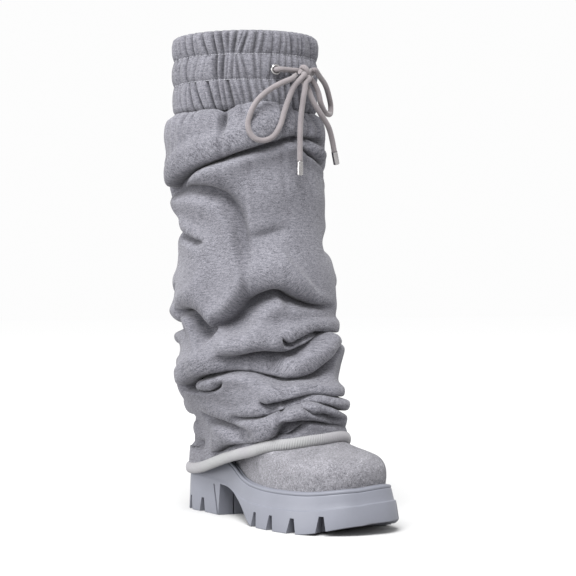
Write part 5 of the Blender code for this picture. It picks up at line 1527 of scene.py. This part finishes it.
# How far the gathers stand out past the waistband's outline
GATHERS_OUT = 0.0028
EYELET_PROFILE = (
    (0.0, 1.00),
    (0.45, 1.00),
    (0.72, 0.90),
    (0.92, 0.72),
    (1.00, 0.50),
    (0.92, 0.28),
    (0.72, 0.10),
    (0.45, 0.00),
    (0.0, 0.00),
)


def waist_surface(bearing, height):
    """A point on the waistband's outermost surface, and the way out from it."""
    turn = math.radians(180.0 - bearing)
    half_width, half_length = WAIST_HALF_WIDTH + GATHERS_OUT, WAIST_HALF_LENGTH + GATHERS_OUT
    point = np.array([-half_width * math.sin(turn), LEG_Y + half_length * math.cos(turn), height])
    out = np.array([-math.sin(turn) / half_width, math.cos(turn) / half_length, 0.0])
    return point, out / np.linalg.norm(out)


def lathe(name, centre, axis, profile, finish, sides=48):
    """A turned piece: profile rows are distance along the axis and radius, and a closed one makes a ring."""
    axis = np.array(axis) / np.linalg.norm(axis)
    side = np.cross(axis, [0.0, 0.0, 1.0] if abs(axis[2]) < 0.9 else [1.0, 0.0, 0.0])
    side /= np.linalg.norm(side)
    other = np.cross(axis, side)
    turn = 2 * np.pi * np.arange(sides) / sides
    spoke = np.cos(turn)[:, None] * side + np.sin(turn)[:, None] * other
    rings = np.array([centre + axis * along + spoke * radius for along, radius in profile])
    if profile[0] == profile[-1]:
        rings = rings[:-1]
        return piece(name, rings.reshape(-1, 3), ring_faces(len(rings), sides, closed=True), finish, 50.0)
    last = (len(rings) - 1) * sides
    faces = ring_faces(len(rings), sides) + [tuple(range(sides)), tuple(range(last, last + sides))]
    return piece(name, rings.reshape(-1, 3), faces, finish, 50.0)


nickel = Finish("bright_nickel", {"Metallic": 1.0, "Base Color": (0.46, 0.45, 0.45, 1.0)})
place = nickel.place()
rubs = nickel.noise(place, 900.0, 3.0)
nickel.feed("Roughness", nickel.span(rubs, 0.3, 0.7, 0.12, 0.26))
nickel.raised(((rubs, 0.00001),))
for name, bearing in zip(("eyelet_outer", "eyelet_inner"), EYELET_BEARINGS):
    point, out = waist_surface(bearing, EYELET_HEIGHT)
    width = EYELET_RADIUS - EYELET_HOLE_RADIUS
    profile = [(GAP + EYELET_THICKNESS * up, EYELET_HOLE_RADIUS + width * w) for up, w in EYELET_PROFILE]
    profile.append(profile[0])
    made = lathe(f"nickel_{name}", point, out, profile, nickel)
    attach(made, "root")
    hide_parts(name)

# The drawcord
# One round cord in a smooth mauve-grey knitted cover. It comes out of both eyelets, crosses the front
# as a short bar, and is tied there in a bow with two loops and two hanging ends.
CORD_DIAMETER = 0.0052
TIP_DIAMETER = 0.0058
TIP_LENGTH = 0.0125
BAR_LIFT = CORD_DIAMETER / 2 + GAP
KNOT_BEARING = -13.0
KNOT_DROP = 0.0015
KNOT_HALF_WIDTH = 0.0085
KNOT_HALF_HEIGHT = 0.0062
KNOT_HALF_DEPTH = 0.0056
CORD_SIDES = 20
CORD_STEP = 0.0008
# How far a cord runs straight out of the knot, as a share of its diameter
PORT_RUN = 0.6
Route = namedtuple("Route", "bearing out drop")
OUTER_LOOP = (
    Route(-3.0, 0.0170, 0.0083),
    Route(6.2, 0.0185, 0.0143),
    Route(14.5, 0.0185, 0.0220),
    Route(20.9, 0.0185, 0.0316),
    Route(24.5, 0.0185, 0.0425),
    Route(26.0, 0.0185, 0.0530),
    Route(24.6, 0.0185, 0.0610),
    Route(21.0, 0.0185, 0.0660),
    Route(16.5, 0.0185, 0.0670),
    Route(11.0, 0.0185, 0.0635),
    Route(6.5, 0.0185, 0.0535),
    Route(3.6, 0.0185, 0.0400),
    Route(0.7, 0.0185, 0.0281),
    Route(-3.2, 0.0185, 0.0161),
)
INNER_LOOP = (
    Route(-24.9, 0.0180, 0.0044),
    Route(-32.7, 0.0170, 0.0111),
    Route(-39.8, 0.0160, 0.0206),
    Route(-45.0, 0.0155, 0.0300),
    Route(-43.0, 0.0160, 0.0362),
    Route(-36.5, 0.0170, 0.0382),
    Route(-30.0, 0.0182, 0.0362),
    Route(-25.5, 0.0188, 0.0298),
    Route(-23.2, 0.0182, 0.0195),
    Route(-21.2, 0.0160, 0.0115),
)
OUTER_END = (
    Route(-10.3, 0.0225, 0.0110),
    Route(-8.6, 0.0230, 0.0200),
    Route(-7.2, 0.0230, 0.0315),
    Route(-6.0, 0.0230, 0.0445),
    Route(-5.4, 0.0230, 0.0590),
    Route(-5.3, 0.0230, 0.0730),
    Route(-5.3, 0.0230, 0.0854),
)
INNER_END = (
    Route(-14.6, 0.0165, 0.0165),
    Route(-16.5, 0.0200, 0.0278),
    Route(-21.5, 0.0235, 0.0406),
    Route(-28.1, 0.0245, 0.0516),
    Route(-33.2, 0.0240, 0.0640),
    Route(-35.8, 0.0240, 0.0735),
)
Port = namedtuple("Port", "outer up out")
OUTER_LOOP_PORTS = (Port(0.85, -0.40, -0.45), Port(0.75, -0.40, 0.60))
INNER_LOOP_PORTS = (Port(-0.80, 0.15, 0.58), Port(-0.90, -0.30, -0.28))
OUTER_END_PORT = Port(-0.10, -0.80, 0.60)
INNER_END_PORT = Port(-0.30, -0.90, -0.40)


def on_route(route):
    turn = math.radians(route.bearing)
    radius = LEG_RADIUS + route.out
    return np.array([-radius * math.sin(turn), LEG_Y - radius * math.cos(turn), EYELET_HEIGHT - route.drop])


def smooth_route(points, spacing):
    """A smooth line through the route's points, with a point at each spacing along it."""
    points = np.array(points)
    lengths = np.concatenate([[0.0], np.cumsum(np.linalg.norm(np.diff(points, axis=0), axis=1))])
    count = max(4, round(lengths[-1] / spacing))
    where = np.linspace(0, lengths[-1], count + 1)
    return np.stack([curve_through(lengths, points[:, a], where) for a in range(3)], axis=1)


def cord_tube(name, line, finish, closed=False):
    """A round cord along a line, with its cover's UV map in metres along and round it."""
    line = np.array(line)
    way = np.roll(line, -1, axis=0) - np.roll(line, 1, axis=0) if closed else np.gradient(line, axis=0)
    way /= np.linalg.norm(way, axis=1, keepdims=True)
    side = np.cross(way[0], [0.0, 0.0, 1.0] if abs(way[0][2]) < 0.9 else [1.0, 0.0, 0.0])
    rings = []
    turn = 2 * np.pi * np.arange(CORD_SIDES) / CORD_SIDES
    for point, ahead in zip(line, way):
        side = side - ahead * np.dot(side, ahead)
        side /= np.linalg.norm(side)
        other = np.cross(ahead, side)
        spokes = np.cos(turn)[:, None] * side + np.sin(turn)[:, None] * other
        rings.append(point + CORD_DIAMETER / 2 * spokes)
    rings = np.array(rings)
    rows = len(rings)
    faces = ring_faces(rows, CORD_SIDES, closed=closed)
    made = piece(name, rings.reshape(-1, 3), faces, finish, 180.0)
    cloth_map(made, rings)
    if not closed:
        work = bmesh.new()
        work.from_mesh(made.data)
        work.verts.ensure_lookup_table()
        for first in (0, (rows - 1) * CORD_SIDES):
            work.faces.new([work.verts[first + k] for k in range(CORD_SIDES)])
        bmesh.ops.recalc_face_normals(work, faces=work.faces[:])
        work.to_mesh(made.data)
        work.free()
    return made


def knot_frame():
    """The knot's middle, where it lies on the bar, and its outer, up and out directions."""
    point, out = waist_surface(KNOT_BEARING, EYELET_HEIGHT - KNOT_DROP)
    middle = point + out * (BAR_LIFT + CORD_DIAMETER / 2 + KNOT_HALF_DEPTH)
    return middle, np.array([[out[1], -out[0], 0.0], [0.0, 0.0, 1.0], out])


def leave_knot(port):
    """Two points by which a cord leaves the knot, the first just clear of it."""
    middle, directions = knot_frame()
    sizes = np.array([KNOT_HALF_WIDTH, KNOT_HALF_HEIGHT, KNOT_HALF_DEPTH])
    way = np.array(port) / np.linalg.norm(port)
    reach = 1 / np.linalg.norm(way / sizes)
    normal = way / sizes**2
    normal /= np.linalg.norm(normal)
    first = way * reach + normal * GAP
    return middle + first @ directions, middle + (first + normal * CORD_DIAMETER * PORT_RUN) @ directions


WRAP_WIDTH = 0.00082
WRAP_HEIGHT = 0.0013
cover = Finish(
    "knitted_cord_cover", {"Sheen Weight": 0.25, "Sheen Roughness": 0.4, "Specular IOR Level": 0.3}
)
spot = cover.cloth_place()
across = cover.node("ShaderNodeSeparateXYZ", {}, {"Vector": spot})
round_it = across * (2 * math.pi / WRAP_WIDTH)
along_it = across.other(1) * (2 * math.pi / WRAP_HEIGHT)
cover_loops = (round_it + along_it).sine() * (round_it - along_it).sine() * 0.5 + 0.5
fibre = cover.noise(cover.scaled(spot, (1800.0, 500.0, 1.0)), 1.0, 3.0, 0.6)
wear = cover.noise(cover.place(), 60.0, 2.0)
cover_tone = cover.span(0.35 * cover_loops + 0.4 * fibre + 0.35 * wear, 0.35, 0.75)
cover.feed("Base Color", cover.mixed(cover_tone, (0.130, 0.117, 0.123), (0.235, 0.212, 0.218)))
cover.feed("Roughness", cover.span(fibre, 0.3, 0.7, 0.7, 0.88))
cover.raised(((cover_loops, 0.00012), (fibre, 0.00006)))

# The bar between the eyelets, which turns down into each hole. Half of it is a row of places, each the
# bearing from its middle and the height over the waistband.
first_bearing, last_bearing = EYELET_BEARINGS
half_run = (first_bearing - last_bearing) / 2
turn_out = math.degrees(CORD_DIAMETER / LEG_RADIUS)
over_rim = GAP + EYELET_THICKNESS + CORD_DIAMETER / 2
half_bar = (
    (half_run, -CORD_DIAMETER * 0.9),
    (half_run, 0.0),
    (half_run - turn_out * 0.12, over_rim * 0.72),
    (half_run - turn_out * 0.55, over_rim),
    (half_run - turn_out * 1.5, over_rim * 0.95),
    (half_run * 0.30, BAR_LIFT),
)
bar_points = []
for away, lift in half_bar + ((0.0, BAR_LIFT),) + tuple((-away, lift) for away, lift in reversed(half_bar)):
    point, out = waist_surface((first_bearing + last_bearing) / 2 + away, EYELET_HEIGHT)
    bar_points.append(point + out * lift)
bar = cord_tube("drawcord_bar", smooth_route(bar_points, CORD_STEP), cover)
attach(bar, "root")
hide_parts("cord_bar")

# The knot: one turn of the cord round the middle of the bow, over a tucked strand
knot_middle, knot_ways = knot_frame()
TURN_HALF_HEIGHT = 0.0040
TURN_HALF_DEPTH = 0.0034
TURN_LEAN = 0.45
TURN_POINTS = 60
TUCK_POINTS = 30
TUCK_REACH = 0.8
TUCK_ARCH = 0.0012
TUCK_BEND = 2.2
TUCK_DROP = 0.001
TUCK_OUT = 0.0006
spin = 2 * np.pi * np.arange(TURN_POINTS) / TURN_POINTS
wrap = np.stack(
    [
        TURN_LEAN * TURN_HALF_HEIGHT * np.cos(spin),
        TURN_HALF_HEIGHT * np.cos(spin),
        TURN_HALF_DEPTH * np.sin(spin),
    ],
    axis=1,
)
knot = cord_tube("bow_knot_turn", knot_middle + wrap @ knot_ways, cover, closed=True)
tucked_shares = np.linspace(-1, 1, TUCK_POINTS)
tucked = np.stack(
    [
        tucked_shares * KNOT_HALF_WIDTH * TUCK_REACH,
        -TUCK_ARCH * np.cos(tucked_shares * TUCK_BEND) - TUCK_DROP,
        np.full(TUCK_POINTS, TUCK_OUT),
    ],
    axis=1,
)
tuck = cord_tube("bow_knot_tuck", knot_middle + tucked @ knot_ways, cover)
for made in (knot, tuck):
    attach(made, "root")
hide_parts("bow_knot")

# The tips, rolled from dark steel tube and pinched on the cord, with an open end
steel = Finish("dark_steel", {"Metallic": 1.0, "Base Color": (0.36, 0.35, 0.35, 1.0)})
rubs = steel.noise(steel.place(), 900.0, 3.0)
steel.feed("Roughness", steel.span(rubs, 0.3, 0.7, 0.16, 0.3))
steel.raised(((rubs, 0.00001),))
TIP_PROFILE = (
    (0.00, 0.80),
    (0.00, 0.94),
    (0.04, 1.00),
    (0.10, 1.00),
    (0.13, 0.95),
    (0.16, 1.00),
    (0.95, 1.00),
    (1.00, 0.96),
    (1.00, 0.78),
    (0.86, 0.74),
)
loops = {"bow_loop_outer": (OUTER_LOOP, OUTER_LOOP_PORTS), "bow_loop_inner": (INNER_LOOP, INNER_LOOP_PORTS)}
for node, (route, ports) in loops.items():
    begin, begin_next = leave_knot(ports[0])
    stop, stop_before = leave_knot(ports[1])
    middle_line = smooth_route([begin_next, *[on_route(r) for r in route], stop_before], CORD_STEP)
    whole = np.array([begin, *middle_line, stop])
    made = cord_tube(f"drawcord_{node}", whole, cover)
    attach(made, "root")
    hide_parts(node)
    (begin + SETTING).tolist()
ends = {"outer": (OUTER_END, OUTER_END_PORT), "inner": (INNER_END, INNER_END_PORT)}
for side, (route, port) in ends.items():
    begin, begin_next = leave_knot(port)
    whole = np.array([begin, *smooth_route([begin_next, *[on_route(r) for r in route]], CORD_STEP)])
    made = cord_tube(f"drawcord_end_{side}", whole, cover)
    way = whole[-1] - whole[-3]
    way /= np.linalg.norm(way)
    tip_profile = [(GAP + TIP_LENGTH * along, TIP_DIAMETER / 2 * wide) for along, wide in TIP_PROFILE]
    tip = lathe(f"metal_tip_{side}", whole[-1], way, tip_profile, steel, 32)
    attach(made, "root")
    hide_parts(f"cord_end_{side}")
    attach(tip, "root")
    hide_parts(f"cord_tip_{side}")
    (begin + SETTING).tolist()

# The floor and the light
# A plain pale floor, shaded so that it runs on into a pale background without a line. A soft light high
# up in front shapes the folds, and a weaker one low on the outer side lifts their shadows.
FLOOR_HALF = 12.0
WORLD_STRENGTH = 0.98
Lamp = namedtuple("Lamp", "name place size power")
KEY = Lamp("key", (-1.02, -1.22, 2.40), 1.4, 128.0)
FILL = Lamp("fill", (-2.10, 0.35, 0.75), 1.4, 38.0)
LAMP_AIM = Vector((0.0, 0.0, 0.2))
# How much of the floor's white stays where the light is strongest
FLOOR_LEFT = 0.08
floor_corners = [(x * FLOOR_HALF, y * FLOOR_HALF, 0) for x, y in ((-1, -1), (1, -1), (1, 1), (-1, 1))]
floor_mesh = bpy.data.meshes.new("floor")
floor_mesh.from_pydata(floor_corners, [], [(0, 1, 2, 3)])
floor = placed("floor", floor_mesh)
paper = Finish("pale_paper", {"Roughness": 1.0, "Specular IOR Level": 0.0})
key_x, key_y, key_height = KEY.place
from_light = paper.node(
    "ShaderNodeVectorMath", {"operation": "DISTANCE"}, {0: paper.place(), 1: (key_x, key_y, 0.0)}, "Value"
)
spread = from_light * from_light + key_height**2
key_share = paper.maths("DIVIDE", KEY.power / math.pi**2 * key_height**2, spread * spread)
shade = paper.maths("DIVIDE", WORLD_STRENGTH, key_share + WORLD_STRENGTH) * (1 - FLOOR_LEFT) + FLOOR_LEFT
paper.feed("Base Color", paper.node("ShaderNodeCombineXYZ", {}, {0: shade, 1: shade, 2: shade}))
floor_mesh.materials.append(paper.material)
world = bpy.data.worlds.new("studio")
bpy.context.scene.world = world
world.use_nodes = True
background = world.node_tree.nodes["Background"]
background.inputs["Color"].default_value = (1.0, 1.0, 1.0, 1.0)
background.inputs["Strength"].default_value = WORLD_STRENGTH
for lamp in (KEY, FILL):
    light = bpy.data.lights.new(lamp.name, "AREA")
    light.size = lamp.size
    light.energy = lamp.power
    made = placed(lamp.name, light)
    made.location = lamp.place
    made.rotation_euler = (LAMP_AIM - made.location).to_track_quat("-Z", "Y").to_euler()
bpy.context.scene.view_settings.view_transform = "Standard"
